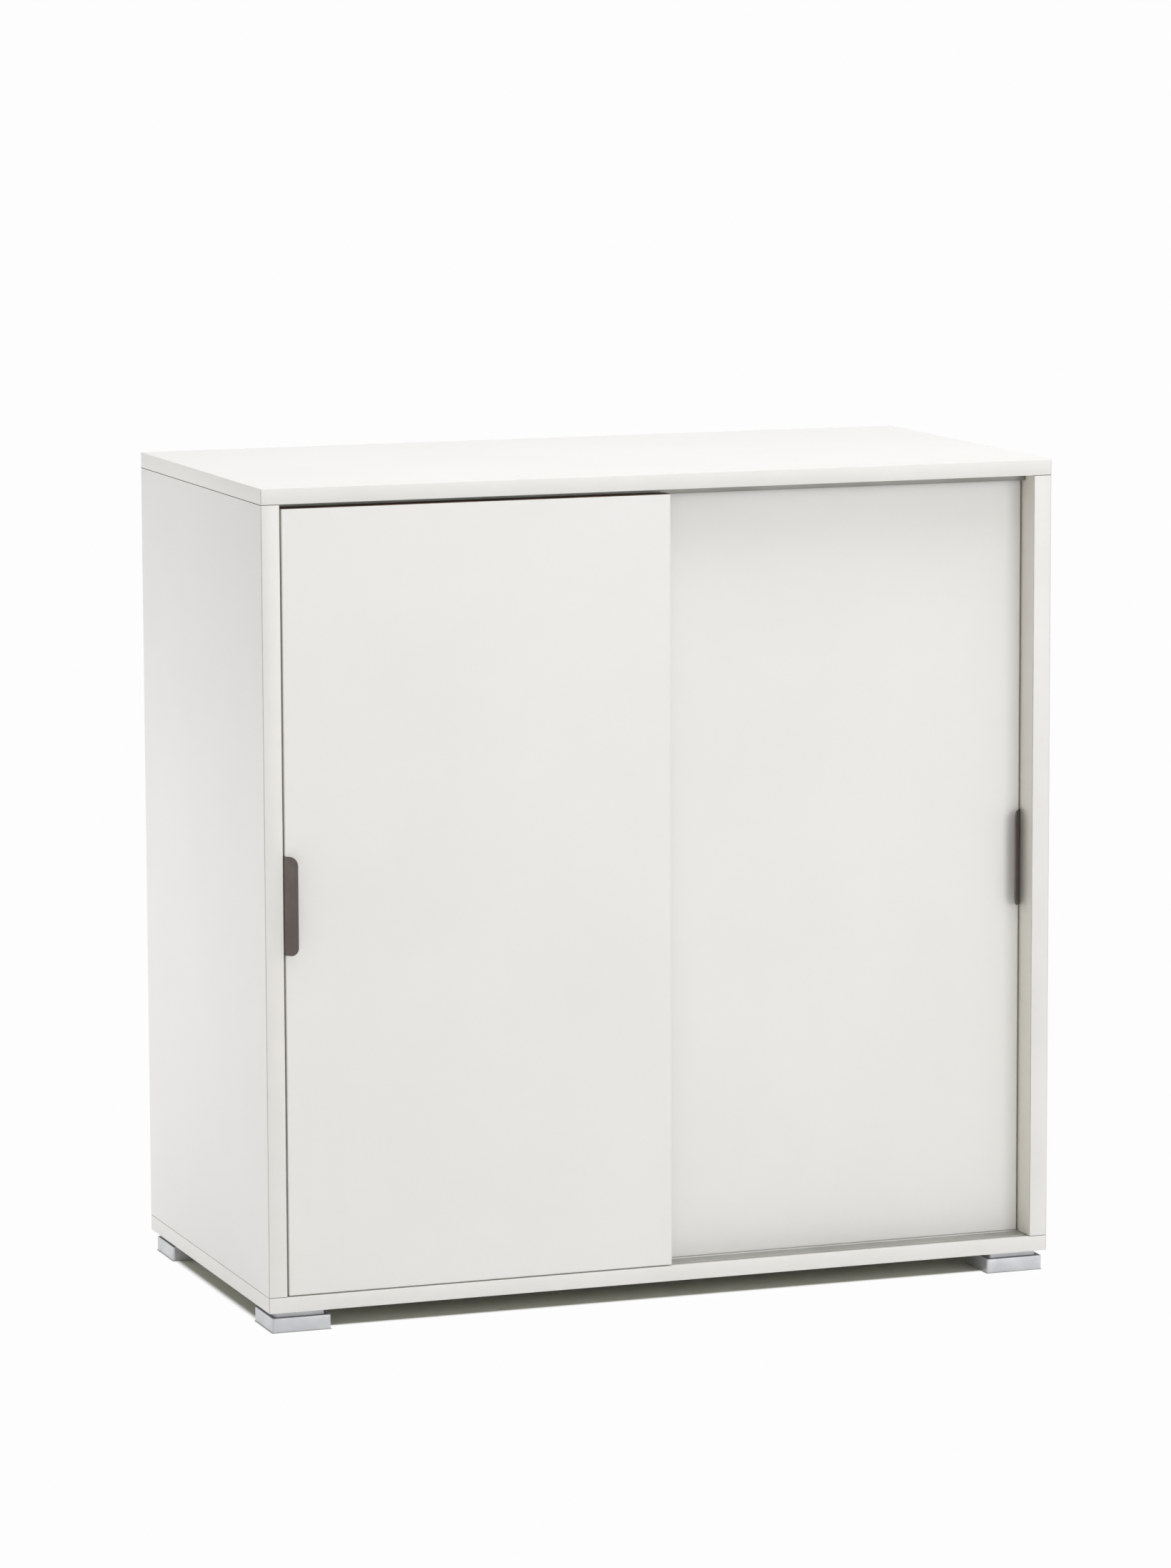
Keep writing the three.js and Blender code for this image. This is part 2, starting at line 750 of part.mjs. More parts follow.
// A guide: a plate on the door's back, an arm under the track's flange and a finger behind it
function topGuide() {
  const finger = channelHalf - guideFingerClearance;
  const armLow = guideArmTop - guideArm;
  const fingerTop = -topWeb - guideTopClearance;
  const outline = polygon([
    [0, guideFootZ],
    [guidePlate, guideFootZ],
    [guidePlate, armLow - guideGusset],
    [guidePlate + guideGusset, armLow],
    [guideReach + finger, armLow],
    [guideReach + finger, fingerTop],
    [guideReach - finger, fingerTop],
    [guideReach - finger, guideArmTop],
    [0, guideArmTop],
  ]);
  const body = extruded(outline, 'x', [-guideWidth / 2, guideWidth / 2]);
  return joined([body, ...guidePegSpots().map((at) => peg(guidePeg, at, opposite(Y)))]);
}

// A handle's section for a left edge, which is at x = 0 with the door's face at y = 0: up the
// leg on the edge, round the bend, out along the plate and back on the outside
function handleSection() {
  const sin = Math.sin(handleLean);
  const cos = Math.cos(handleLean);
  const inner = handleBendRadius;
  const outer = handleBendRadius + handleSheet;
  const plateEnd = (radius) => [
    inner - radius * cos + handlePlate * sin,
    -radius * sin - handlePlate * cos,
  ];
  const section = new THREE.Shape();
  section.moveTo(0, handleLeg);
  section.lineTo(0, 0);
  section.absarc(inner, 0, inner, Math.PI, Math.PI + handleLean, false);
  section.lineTo(...plateEnd(inner));
  section.lineTo(...plateEnd(outer));
  section.absarc(inner, 0, outer, Math.PI + handleLean, Math.PI, true);
  section.lineTo(-handleSheet, handleLeg);
  section.closePath();
  return section;
}

// A prism square to the handle's plate, which leaves the plate's two free corners round
function handleBlank() {
  const tail = -handleLeg - handleSheet;
  const freeEdge = handlePlate + handleBendRadius * Math.sin(handleLean);
  const half = handleLength / 2;
  const cornerX = freeEdge - handleCornerRadius;
  const cornerZ = half - handleCornerRadius;
  const outline = new THREE.Shape();
  outline.moveTo(tail, -half);
  outline.absarc(cornerX, -cornerZ, handleCornerRadius, -Math.PI / 2, 0, false);
  outline.absarc(cornerX, cornerZ, handleCornerRadius, 0, Math.PI / 2, false);
  outline.lineTo(tail, half);
  outline.closePath();
  const depth = 2 * (handleLeg + handlePlate);
  const options = { depth, bevelEnabled: false, curveSegments: handleArcSegments };
  const geometry = new THREE.ExtrudeGeometry(outline, options);
  geometry.translate(0, 0, -depth / 2);
  const alongPlate = new THREE.Vector3(Math.sin(handleLean), -Math.cos(handleLean), 0);
  const throughPlate = alongPlate.clone().cross(Z);
  geometry.applyMatrix4(new THREE.Matrix4().makeBasis(alongPlate, Z, throughPlate));
  return toSolid(geometry);
}

// A bent sheet handle, centred on its own height
function handle() {
  const sheet = extruded(handleSection(), 'z', [-handleLength / 2, handleLength / 2]);
  const holes = handleScrewZs.map((z) => screwHole(handleScrew, [-handleSheet, doorMiddleY, z], X));
  return cut(sheet.intersect(handleBlank()), holes);
}

// A door and all that slides with it. Both doors have the same handle: the one on the right
// edge is turned upside down.
function door(name, handleSide, position) {
  const group = new THREE.Group();
  group.position.set(...position);
  group.add(piece(name, doorLeaf(handleSide), whiteBoard));

  const grip = new THREE.Group();
  grip.position.set(handleSide < 0 ? 0 : doorWidth, 0, handleZ);
  grip.rotation.y = handleSide < 0 ? 0 : Math.PI;
  grip.add(piece(`${name}_handle`, handle(), darkMetal));
  handleScrewZs.forEach((z, i) => {
    const fixing = screw(handleScrew, [0, 0, 0], X);
    grip.add(piece(`${name}_handle_screw_${i + 1}`, fixing, steel, [-handleSheet, doorMiddleY, z]));
  });
  group.add(grip);

  ['left', 'right'].forEach((end, i) => {
    const housingAt = [rollerXs[i], doorMiddleY, 0];
    const wheelAt = [rollerXs[i], doorMiddleY, wheelZ];
    const guideAt = [guideXs[i], doorThickness, guideOriginZ];
    group.add(piece(`${name}_${end}_roller_housing`, rollerHousing(), blackPlastic, housingAt));
    group.add(piece(`${name}_${end}_wheel`, wheel(), whitePlastic, wheelAt));
    group.add(piece(`${name}_${end}_axle`, axle(), steel, wheelAt));
    group.add(piece(`${name}_${end}_guide`, topGuide(), blackPlastic, guideAt));
  });
  return group;
}

// Assembly

const cabinet = new THREE.Group();
cabinet.position.y = (handleReach - cabinetDepth) / 2;

cabinet.add(piece('top_panel', topPanel(), whiteBoard));
cabinet.add(piece('bottom_panel', bottomPanel(), whiteBoard));
cabinet.add(piece('left_side_panel', sidePanel(uprights.left, -1), whiteBoard));
cabinet.add(piece('right_side_panel', sidePanel(uprights.right, 1), whiteBoard));
cabinet.add(piece('centre_divider', centreDivider(), whiteBoard));

const backInnerX = stripWeb / 2 + backEdgeClearance;
const backOuterX = innerHalfWidth + backGrooveDepth - backEdgeClearance;
cabinet.add(piece('left_back_panel', backPanel(-backOuterX, -backInnerX), whiteHardboard));
cabinet.add(piece('right_back_panel', backPanel(backInnerX, backOuterX), whiteHardboard));
cabinet.add(piece('back_joining_strip', backStrip(), whitePlastic));

const bays = { left: [-innerHalfWidth, -halfDivider], right: [halfDivider, innerHalfWidth] };
for (const [side, bay] of Object.entries(bays)) {
  cabinet.add(piece(`${side}_shelf`, shelf(bay), whiteBoard));
  const spots = bay.flatMap((x) => pinYs.map((y) => [x, y, pinZ]));
  spots.forEach((at, i) => {
    const pin = piece(`${side}_shelf_pin_${i + 1}`, shelfPin(), steel, at);
    pin.rotation.z = at[0] === bay[0] ? 0 : Math.PI;
    cabinet.add(pin);
  });
}

for (const side of ['left', 'right']) {
  for (const { name, y, z } of camSpots(uprights[side])) {
    const faceX = side === 'left' ? -innerHalfWidth : innerHalfWidth;
    const cam = piece(`${side}_cam_lock_${name}`, camLock(), zincAlloy, [faceX, y, z]);
    cam.rotation.z = side === 'left' ? Math.PI : 0;
    cabinet.add(cam);
  }
}

cabinet.add(piece('top_track', topTrack(), aluminium));
cabinet.add(piece('bottom_track', bottomTrack(), aluminium));
trackScrewSpots().forEach((at, i) => {
  cabinet.add(piece(`top_track_screw_${i + 1}`, screw(trackScrew, [0, 0, 0], Z), steel, at));
});

for (const { name, x, y } of footSpots()) cabinet.add(piece(name, foot(), silverPlastic, [x, y, 0]));

cabinet.add(door('front_door', -1, [frontDoorX, frontDoorY, doorZ]));
cabinet.add(door('rear_door', 1, [rearDoorX, rearDoorY, doorZ]));

const part = new THREE.Group();
part.add(cabinet);

export default part;
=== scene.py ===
# %% [markdown]
# Sliding door cabinet
#
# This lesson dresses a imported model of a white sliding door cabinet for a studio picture. The
# model already has every piece at its real size and place, so nothing is measured again here:
# places come from the model, and this script adds rounded arrises, edge bands, smooth turned
# parts, finishes, light and a camera.

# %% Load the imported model
import math

import bmesh
import bpy
from mathutils import Matrix, Vector


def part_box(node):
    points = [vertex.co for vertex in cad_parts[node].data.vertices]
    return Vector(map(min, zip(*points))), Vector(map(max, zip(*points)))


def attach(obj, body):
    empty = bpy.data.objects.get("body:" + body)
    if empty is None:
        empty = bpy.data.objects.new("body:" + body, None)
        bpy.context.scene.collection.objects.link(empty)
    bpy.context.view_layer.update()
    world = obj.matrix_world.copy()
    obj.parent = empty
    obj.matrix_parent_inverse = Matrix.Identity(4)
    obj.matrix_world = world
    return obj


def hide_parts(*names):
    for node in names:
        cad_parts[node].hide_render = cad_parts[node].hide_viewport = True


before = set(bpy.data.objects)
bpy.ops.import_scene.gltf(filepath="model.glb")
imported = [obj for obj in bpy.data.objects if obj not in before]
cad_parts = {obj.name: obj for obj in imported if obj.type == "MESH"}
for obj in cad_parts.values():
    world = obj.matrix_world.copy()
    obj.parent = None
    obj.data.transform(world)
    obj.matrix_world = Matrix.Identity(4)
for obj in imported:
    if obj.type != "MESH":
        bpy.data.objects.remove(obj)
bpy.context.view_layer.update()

# %% [markdown]
# Blender works in metres, but furniture is drawn in millimetres. One factor turns the drawn
# sizes into metres, and one helper turns the colours that a paint chart gives, from 0 to 255,
# into the linear colours that shaders expect.

# %% Units and colours
MM = 0.001


def paint(red, green, blue):
    """A screen colour, 0 to 255 a channel, as the linear colour that a shader takes."""

    def linear(value):
        share = value / 255
        return share / 12.92 if share <= 0.04045 else ((share + 0.055) / 1.055) ** 2.4

    return (linear(red), linear(green), linear(blue), 1.0)


print("white board in linear light:", [round(value, 3) for value in paint(240, 239, 235)])

# %% [markdown]
# Every material, tree and world here is a graph of nodes. One helper adds a node, sets it and
# links it, so that a graph reads as a list of steps. Three more stand for the nodes that come
# back most often: a sum, a sum of vectors, and a mix of two colours.

# %% Helpers that wire nodes
mix_first, mix_second, mix_result = 6, 7, 2


def wire(tree, kind, settings=None, **inputs):
    """Adds a node, sets its properties and its inputs, and links what is itself a socket."""
    node = tree.nodes.new(kind)
    for key, value in (settings or {}).items():
        setattr(node, key, value)
    for key, value in inputs.items():
        socket = node.inputs[int(key[1:])] if key.startswith("i") and key[1:].isdigit() \
            else node.inputs[key.replace("_", " ")]
        if isinstance(value, bpy.types.NodeSocket):
            tree.links.new(value, socket)
        else:
            socket.default_value = value
    return node


def maths(tree, operation, *values, **settings):
    """The result of a Math node on up to three values."""
    inputs = {f"i{index}": value for index, value in enumerate(values)}
    return wire(tree, "ShaderNodeMath", {"operation": operation, **settings}, **inputs).outputs[0]


def vector_maths(tree, operation, *values):
    """The outputs of a Vector Math node: the vector first, and a length under Value."""
    inputs = {f"i{index}": value for index, value in enumerate(values)}
    return wire(tree, "ShaderNodeVectorMath", {"operation": operation}, **inputs).outputs


def mixed_colour(tree, share, first, second):
    """A mix of two colours. Several sockets of the node share a name, so they go by number."""
    inputs = {"i0": share, f"i{mix_first}": first, f"i{mix_second}": second}
    return wire(tree, "ShaderNodeMix", {"data_type": "RGBA"}, **inputs).outputs[mix_result]


def linked(name, data):
    """A new object of the scene with its data."""
    made = bpy.data.objects.new(name, data)
    bpy.context.scene.collection.objects.link(made)
    return made


print("a colour mix takes sockets", mix_first, "and", mix_second, "and gives socket", mix_result)

# %% [markdown]
# The picture was taken from the front, a little to the left of the cabinet and just above its
# top, with a long lens from six metres away. A long lens keeps the cabinet's uprights nearly
# parallel. The camera is placed by the angles at which it sees the cabinet, turned round a
# point on the cabinet's front, so that each angle can be read and changed by itself.

# %% Camera
camera_azimuth = math.radians(19.758)
camera_elevation = math.radians(8.205)
camera_roll = math.radians(-0.211)
camera_distance = 6.05055
camera_aim = Vector((-0.081054, -0.196711, 0.508885))
focal_pixels = 8911.67
image_height_pixels = 2194
sensor_size = 36.0

right = Vector((math.cos(camera_azimuth), -math.sin(camera_azimuth), 0))
back = Vector((
    -math.sin(camera_azimuth) * math.cos(camera_elevation),
    -math.cos(camera_azimuth) * math.cos(camera_elevation),
    math.sin(camera_elevation),
))
up = back.cross(right)
rolled_right = right * math.cos(camera_roll) + up * math.sin(camera_roll)
rolled_up = up * math.cos(camera_roll) - right * math.sin(camera_roll)

camera_data = bpy.data.cameras.new("camera")
camera_data.sensor_width = sensor_size
camera_data.lens = sensor_size * focal_pixels / image_height_pixels
camera_data.clip_end = 100
camera = linked("camera", camera_data)
turn = Matrix((rolled_right, rolled_up, back)).transposed().to_4x4()
camera.matrix_world = Matrix.Translation(camera_aim + back * camera_distance) @ turn
bpy.context.scene.camera = camera
print("lens", round(camera_data.lens, 2), "mm, camera at", tuple(camera.matrix_world.translation))

# %% [markdown]
# The studio is a white sweep under soft light. A white world fills every shadow from all
# sides, a large softbox overhead makes the top brightest, and a second one in front gives the
# doors their tone and lays a soft shadow under the cabinet's top. A small low one at the left
# lifts the rear of the side panel. The lamps are set so that a colour renders about as it is
# painted.

# %% Lamps
world_fill = 0.465
lamp_white = paint(252, 253, 255)[:3]
cabinet_middle = Vector((0, 0, 0.45))
side_foot = Vector((-0.4, 0.1, 0.1))


def softbox(name, place, aim, size, watts):
    """A square area lamp that faces a point of the cabinet."""
    lamp = bpy.data.lights.new(name, "AREA")
    lamp.shape = "SQUARE"
    lamp.size = size
    lamp.energy = watts
    lamp.color = lamp_white
    holder = linked(name, lamp)
    holder.location = place
    holder.rotation_euler = (aim - holder.location).to_track_quat("-Z", "Y").to_euler()
    return holder


softbox("overhead_softbox", place=Vector((0.3, -0.6, 3.6)), aim=cabinet_middle, size=2.6, watts=62)
softbox("front_softbox", place=Vector((1.7, -4.2, 1.3)), aim=cabinet_middle, size=2.0, watts=38)
softbox("left_softbox", place=Vector((-1.5, 0.8, 0.3)), aim=side_foot, size=0.5, watts=6.0)
print("softboxes:", [light.name for light in bpy.data.lights])

# %% [markdown]
# The world is plain white where the camera, a mirror or a glass sees it, and dimmer as a lamp:
# the Light Path node tells these rays apart. As a lamp it is a little weaker on the left, which
# gives every recess that opens to the left a soft shadow.

# %% World
world = bpy.data.worlds.new("white_studio")
world.use_nodes = True
bpy.context.scene.world = world
world_tree = world.node_tree
world_tree.nodes.clear()
seen_white = paint(253, 253, 253)
fill_lean = 0.4


def seen_rays(tree):
    """One for a ray that shows the background: to the camera, off a gloss or through glass."""
    ray = wire(tree, "ShaderNodeLightPath").outputs
    shown = maths(tree, "MAXIMUM", ray["Is Camera Ray"], ray["Is Glossy Ray"])
    return maths(tree, "MAXIMUM", shown, ray["Is Transmission Ray"])


sky = wire(world_tree, "ShaderNodeSeparateXYZ", None,
           i0=wire(world_tree, "ShaderNodeTexCoord").outputs["Generated"])
leaning_fill = wire(world_tree, "ShaderNodeMapRange", None, Value=sky.outputs["X"], From_Min=-1.0,
                    To_Min=world_fill * (1 - fill_lean), To_Max=world_fill * (1 + fill_lean))
fill_light = wire(world_tree, "ShaderNodeBackground", None, Color=paint(255, 253, 249),
                  Strength=leaning_fill.outputs["Result"])
backdrop_white = wire(world_tree, "ShaderNodeBackground", None, Color=seen_white)
either = wire(world_tree, "ShaderNodeMixShader", None, i0=seen_rays(world_tree),
              i1=fill_light.outputs[0], i2=backdrop_white.outputs[0])
wire(world_tree, "ShaderNodeOutputWorld", None, Surface=either.outputs[0])

scene = bpy.context.scene
scene.view_settings.view_transform = "Standard"
print("world fill", world_fill, "view transform", scene.view_settings.view_transform)

# %% [markdown]
# The floor is as white as the backdrop, so that no horizon shows, and only under the cabinet is
# it real floor, which takes the cabinet's shadow. There it is also painted a darker greenish
# grey, which is painted shadow on top of the rendered one. A mask tells the two apart. It
# measures how far a point lies outside the cabinet's footprint, and fades over a short way. A
# narrow ring round each foot is real floor too, with the same painted shadow tone, and gives
# the foot the thin dark line of its contact, partly rendered shade and partly painted shadow.
# The four feet are one foot folded over twice, so they need no loop.

# %% Floor
floor_reach = 12.0
footprint_inset = Vector((12 * MM, 21 * MM, 0))
shade_fade = 9 * MM
contact_fade = 1.6 * MM
# Painted shadow: a darker greenish grey laid on the floor under the cabinet and round the feet.
floor_painted_shadow = paint(210, 211, 198)
open_floor_white = paint(248, 248, 247)


def middle_of(node):
    """The middle of a node's box in the model."""
    low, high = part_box(node)
    return (low + high) / 2


def on_floor(place):
    """A place brought down to the floor."""
    return Vector((place.x, place.y, 0))


bottom_low, bottom_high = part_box("bottom_panel")
footprint_low = on_floor(bottom_low) + footprint_inset
footprint_high = on_floor(bottom_high) - footprint_inset
footprint_middle = (footprint_low + footprint_high) / 2
footprint_half = (footprint_high - footprint_low) / 2
near_foot, far_foot = on_floor(middle_of("front_left_foot")), on_floor(middle_of("rear_right_foot"))
feet_middle = (near_foot + far_foot) / 2
feet_spread = (far_foot - near_foot) / 2
foot_low, foot_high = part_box("front_left_foot")
foot_half = on_floor(foot_high - foot_low) / 2

floor_mesh = bpy.data.meshes.new("floor")
floor_mesh.from_pydata(
    [(-floor_reach, -floor_reach, 0), (floor_reach, -floor_reach, 0),
     (floor_reach, floor_reach, 0), (-floor_reach, floor_reach, 0)],
    [], [(0, 1, 2, 3)],
)
floor = linked("floor", floor_mesh)

floor_paint = bpy.data.materials.new("floor_white")
floor_paint.use_nodes = True
floor_tree = floor_paint.node_tree
floor_tree.nodes.clear()
floor_place = wire(floor_tree, "ShaderNodeTexCoord").outputs["Object"]


def folded_distance(from_point, middle, half):
    """How far a point lies outside a rectangle about a middle, and the point folded round it."""
    away = vector_maths(floor_tree, "SUBTRACT", from_point, middle)[0]
    folded = vector_maths(floor_tree, "ABSOLUTE", away)[0]
    beyond = vector_maths(floor_tree, "SUBTRACT", folded, half)[0]
    outer = vector_maths(floor_tree, "MAXIMUM", beyond, (0, 0, 0))[0]
    return vector_maths(floor_tree, "LENGTH", outer)["Value"], folded


def faded_over(distance, width):
    """Nought at a shape's edge and one beyond a width, with a soft turn at both ends."""
    fade = wire(floor_tree, "ShaderNodeMapRange", {"interpolation_type": "SMOOTHSTEP"},
                Value=distance, From_Max=width)
    return fade.outputs["Result"]


under_cabinet, _ = folded_distance(floor_place, footprint_middle, footprint_half)
_, folded_once = folded_distance(floor_place, feet_middle, feet_spread)
under_foot, _ = folded_distance(folded_once, feet_spread, foot_half)
open_floor = maths(floor_tree, "MINIMUM", faded_over(under_cabinet, shade_fade),
                   faded_over(under_foot, contact_fade))
glowing = maths(floor_tree, "MULTIPLY", open_floor, seen_rays(floor_tree))
# The floor's colour is the painted shadow tone inside the mask and white outside it.
tone = mixed_colour(floor_tree, open_floor, floor_painted_shadow, open_floor_white)
matt = wire(floor_tree, "ShaderNodeBsdfDiffuse", None, Color=tone)
glow = wire(floor_tree, "ShaderNodeEmission", None, Color=seen_white)
blend = wire(floor_tree, "ShaderNodeMixShader", None, i0=glowing, i1=matt.outputs[0],
             i2=glow.outputs[0])
wire(floor_tree, "ShaderNodeOutputMaterial", None, Surface=blend.outputs[0])
floor_mesh.materials.append(floor_paint)
print("shaded floor from", tuple(footprint_low), "to", tuple(footprint_high))

# %% [markdown]
# Finishes. Most surfaces of the cabinet share two effects: a fine grain with a slow change of
# shade, as on pressed melamine or moulded plastic, and long lines, as on drawn metal or planed
# strips. Each effect is a node group, made once and used by many materials with other values.
# The groups give only colours and values, and the shader stays in the material.

# %% A helper for groups and trees
FLOAT, COLOR, VECTOR = "NodeSocketFloat", "NodeSocketColor", "NodeSocketVector"
WHOLE, SOLID = "NodeSocketInt", "NodeSocketGeometry"
PIECE, COATING = "NodeSocketObject", "NodeSocketMaterial"


def new_group(name, inputs, outputs, kind="ShaderNodeTree"):
    """An empty group or tree with named inputs and outputs, the first's outputs, and the last's
    inputs. An input lists its name, its kind and, where it has one, its default."""
    group = bpy.data.node_groups.new(name, kind)
    for label, socket_kind, *default in inputs:
        socket = group.interface.new_socket(label, in_out="INPUT", socket_type=socket_kind)
        for value in default:
            socket.default_value = value
    for label, socket_kind in outputs:
        group.interface.new_socket(label, in_out="OUTPUT", socket_type=socket_kind)
    first, last = group.nodes.new("NodeGroupInput"), group.nodes.new("NodeGroupOutput")
    return group, first.outputs, last.inputs


print("socket kinds:", FLOAT, COLOR, VECTOR, WHOLE, SOLID, PIECE, COATING)

# %% The grain group
grain_group, grain_in, grain_out = new_group(
    "fine_grain",
    [("Colour", COLOR, (0.8, 0.8, 0.8, 1)), ("Shade", COLOR, (0.75, 0.75, 0.75, 1)),
     ("Grain Size", FLOAT, 0.001), ("Patch Size", FLOAT, 0.2), ("Speckle", FLOAT, 0.0),
     ("Roughness", FLOAT, 0.5), ("Roughness Spread", FLOAT, 0.1)],
    [("Colour", COLOR), ("Roughness", FLOAT), ("Height", FLOAT)],
)
spot = wire(grain_group, "ShaderNodeTexCoord").outputs["Object"]
grain_scale = maths(grain_group, "DIVIDE", 1.0, grain_in["Grain Size"])
patch_scale = maths(grain_group, "DIVIDE", 1.0, grain_in["Patch Size"])
grain = wire(grain_group, "ShaderNodeTexNoise", None, Vector=spot, Scale=grain_scale,
             Detail=2.0, Roughness=0.55).outputs["Fac"]
patches = wire(grain_group, "ShaderNodeTexNoise", None, Vector=spot, Scale=patch_scale,
               Detail=3.0, Roughness=0.5).outputs["Fac"]
spread_patches = wire(grain_group, "ShaderNodeMapRange", None, Value=patches, From_Min=0.35,
                      From_Max=0.65).outputs["Result"]
speckle = maths(grain_group, "MULTIPLY", grain, grain_in["Speckle"])
shading = maths(grain_group, "ADD", spread_patches, speckle, use_clamp=True)
shaded = mixed_colour(grain_group, shading, grain_in["Colour"], grain_in["Shade"])
centred = maths(grain_group, "SUBTRACT", grain, 0.5)
scuffed = maths(grain_group, "MULTIPLY_ADD", centred, grain_in["Roughness Spread"],
                grain_in["Roughness"])
grain_group.links.new(shaded, grain_out["Colour"])
grain_group.links.new(scuffed, grain_out["Roughness"])
grain_group.links.new(grain, grain_out["Height"])
print("group", grain_group.name, "with", len(grain_group.nodes), "nodes")

# %% [markdown]
# Long lines are the same noise, squeezed: along the run of the profile it changes slowly, and
# across the run it changes several times a millimetre.

# %% The long lines group
lines_group, lines_in, lines_out = new_group(
    "long_lines",
    [("Across", VECTOR, (1, 2000, 2000)), ("Depth", FLOAT, 1.0)],
    [("Lines", FLOAT)],
)
run = vector_maths(lines_group, "MULTIPLY",
                   wire(lines_group, "ShaderNodeTexCoord").outputs["Object"],
                   lines_in["Across"])[0]
streaks = wire(lines_group, "ShaderNodeTexNoise", None, Vector=run, Scale=1.0, Detail=2.0,
               Roughness=0.6).outputs["Fac"]
deepened = maths(lines_group, "MULTIPLY", streaks, lines_in["Depth"])
lines_group.links.new(deepened, lines_out["Lines"])
print("group", lines_group.name, "with", len(lines_group.nodes), "nodes")

# %% [markdown]
# With the groups in place a finish is a short call: its two shades, the size of its grain, how
# glossy it is, and how far the grain stands up. Drawn metal adds the long lines to the height.

# %% The finish maker


def finish(name, colour, shade, grain_mm, patch_mm, gloss, relief_mm, speckle=0.0, spread=0.15,
           metallic=0.0, coat=0.0, lines=None):
    """A material of fine grain. Lines is the run of drawn lines, or None."""
    material = bpy.data.materials.new(name)
    material.use_nodes = True
    tree = material.node_tree
    shader = tree.nodes["Principled BSDF"]
    shader.inputs["Metallic"].default_value = metallic
    shader.inputs["Coat Weight"].default_value = coat
    surface = wire(tree, "ShaderNodeGroup", {"node_tree": grain_group}, Colour=colour, Shade=shade,
                   Grain_Size=grain_mm * MM, Patch_Size=patch_mm * MM, Speckle=speckle,
                   Roughness=gloss, Roughness_Spread=spread)
    height = surface.outputs["Height"]
    if lines:
        along_run = wire(tree, "ShaderNodeGroup", {"node_tree": lines_group}, Across=lines, Depth=1.0)
        height = along_run.outputs["Lines"]
    bump = wire(tree, "ShaderNodeBump", None, Strength=1.0, Distance=relief_mm * MM, Height=height)
    tree.links.new(surface.outputs["Colour"], shader.inputs["Base Color"])
    tree.links.new(surface.outputs["Roughness"], shader.inputs["Roughness"])
    tree.links.new(bump.outputs["Normal"], shader.inputs["Normal"])
    return material


print("a finish is made of the groups", grain_group.name, "and", lines_group.name)

# %% [markdown]
# The boards are chipboard faced with white melamine. Their cut edges are covered with a thin
# white band, smoother than the face. Where the band meets the face a hairline of glue shows.
# Where a board's end is bare, against the top and the bottom, its brown core shows as a thin
# line, painted much darker than the bare core: the darkness is painted shade of the crevice.
# The melamine is satin, with a faint orange-peel grain. The faces inside the cabinet have a
# warmer, slightly darker white, which is painted warm bounce light and shade.

# %% Board finishes
melamine = finish("white_melamine", paint(241, 240, 238), paint(239, 238, 236),
                  grain_mm=1.6, patch_mm=160, gloss=0.42, relief_mm=0.02)
edge_band = finish("white_edge_band", paint(240, 239, 236), paint(237, 236, 233),
                   grain_mm=0.9, patch_mm=60, gloss=0.36, relief_mm=0.008)
glue_line = finish("glue_line", paint(206, 201, 193), paint(190, 184, 174),
                   grain_mm=0.4, patch_mm=14, gloss=0.6, relief_mm=0.01)
band_joint = finish("band_joint", paint(202, 197, 190), paint(190, 184, 176),
                    grain_mm=0.4, patch_mm=14, gloss=0.6, relief_mm=0.01)
chipboard = finish("bare_chipboard", paint(214, 190, 156), paint(176, 144, 108),
                   grain_mm=1.2, patch_mm=3, gloss=0.85, relief_mm=0.2, speckle=0.5)
# Painted shade: the bare core at a board's end along Z, and on the doors' top edges, is much darker than
# bare chipboard, standing in for the shade of the crevice and the gap.
seam = finish("board_end_seam", paint(106, 84, 68), paint(84, 64, 50),
              grain_mm=0.8, patch_mm=9, gloss=0.8, relief_mm=0.05)
# Painted warm bounce light and shade: a warmer, slightly darker white for the faces that look into the
# cabinet.
inner_melamine_painted_bounce = finish("inner_melamine_painted_warm_shade", paint(236, 233, 224), paint(233, 230, 221),
                        grain_mm=1.6, patch_mm=160, gloss=0.5, relief_mm=0.02)
board_finishes = [melamine, edge_band, glue_line, chipboard, seam, band_joint, inner_melamine_painted_bounce]
FACE, BAND, GLUE, CORE, CORE_PAINTED_SHADE, JOINT, INSIDE_PAINTED_SHADE = range(len(board_finishes))
print("board finishes:", [material.name for material in board_finishes])

# %% [markdown]
# The metals and plastics. The tracks are drawn aluminium with an anodised skin; the top track
# is painted darker than the bottom one, as painted shade under the cabinet's top. The handles
# have a dark bronze-grey coating of fine grain, whose dark tone is partly painted reflection of
# the dark surroundings they face. The feet are moulded in silver-grey plastic, and the ledge
# round each foot's neck is painted dark grey, as painted shade under the bottom panel.

# %% Metal and plastic finishes
# Painted shade: the top track's tone is darker than the bottom one's, for the shade under the cabinet's
# top.
track_tones_top_painted_shade = {"top_track": (paint(138, 137, 132), paint(128, 127, 122)),
                 "bottom_track": (paint(176, 176, 171), paint(166, 166, 161))}
track_finishes = {
    node: finish(f"{node}_aluminium", colour, shade, grain_mm=0.7, patch_mm=40, gloss=0.4,
                 relief_mm=0.01, metallic=0.6, lines=(3, 2200, 2200))
    for node, (colour, shade) in track_tones_top_painted_shade.items()
}
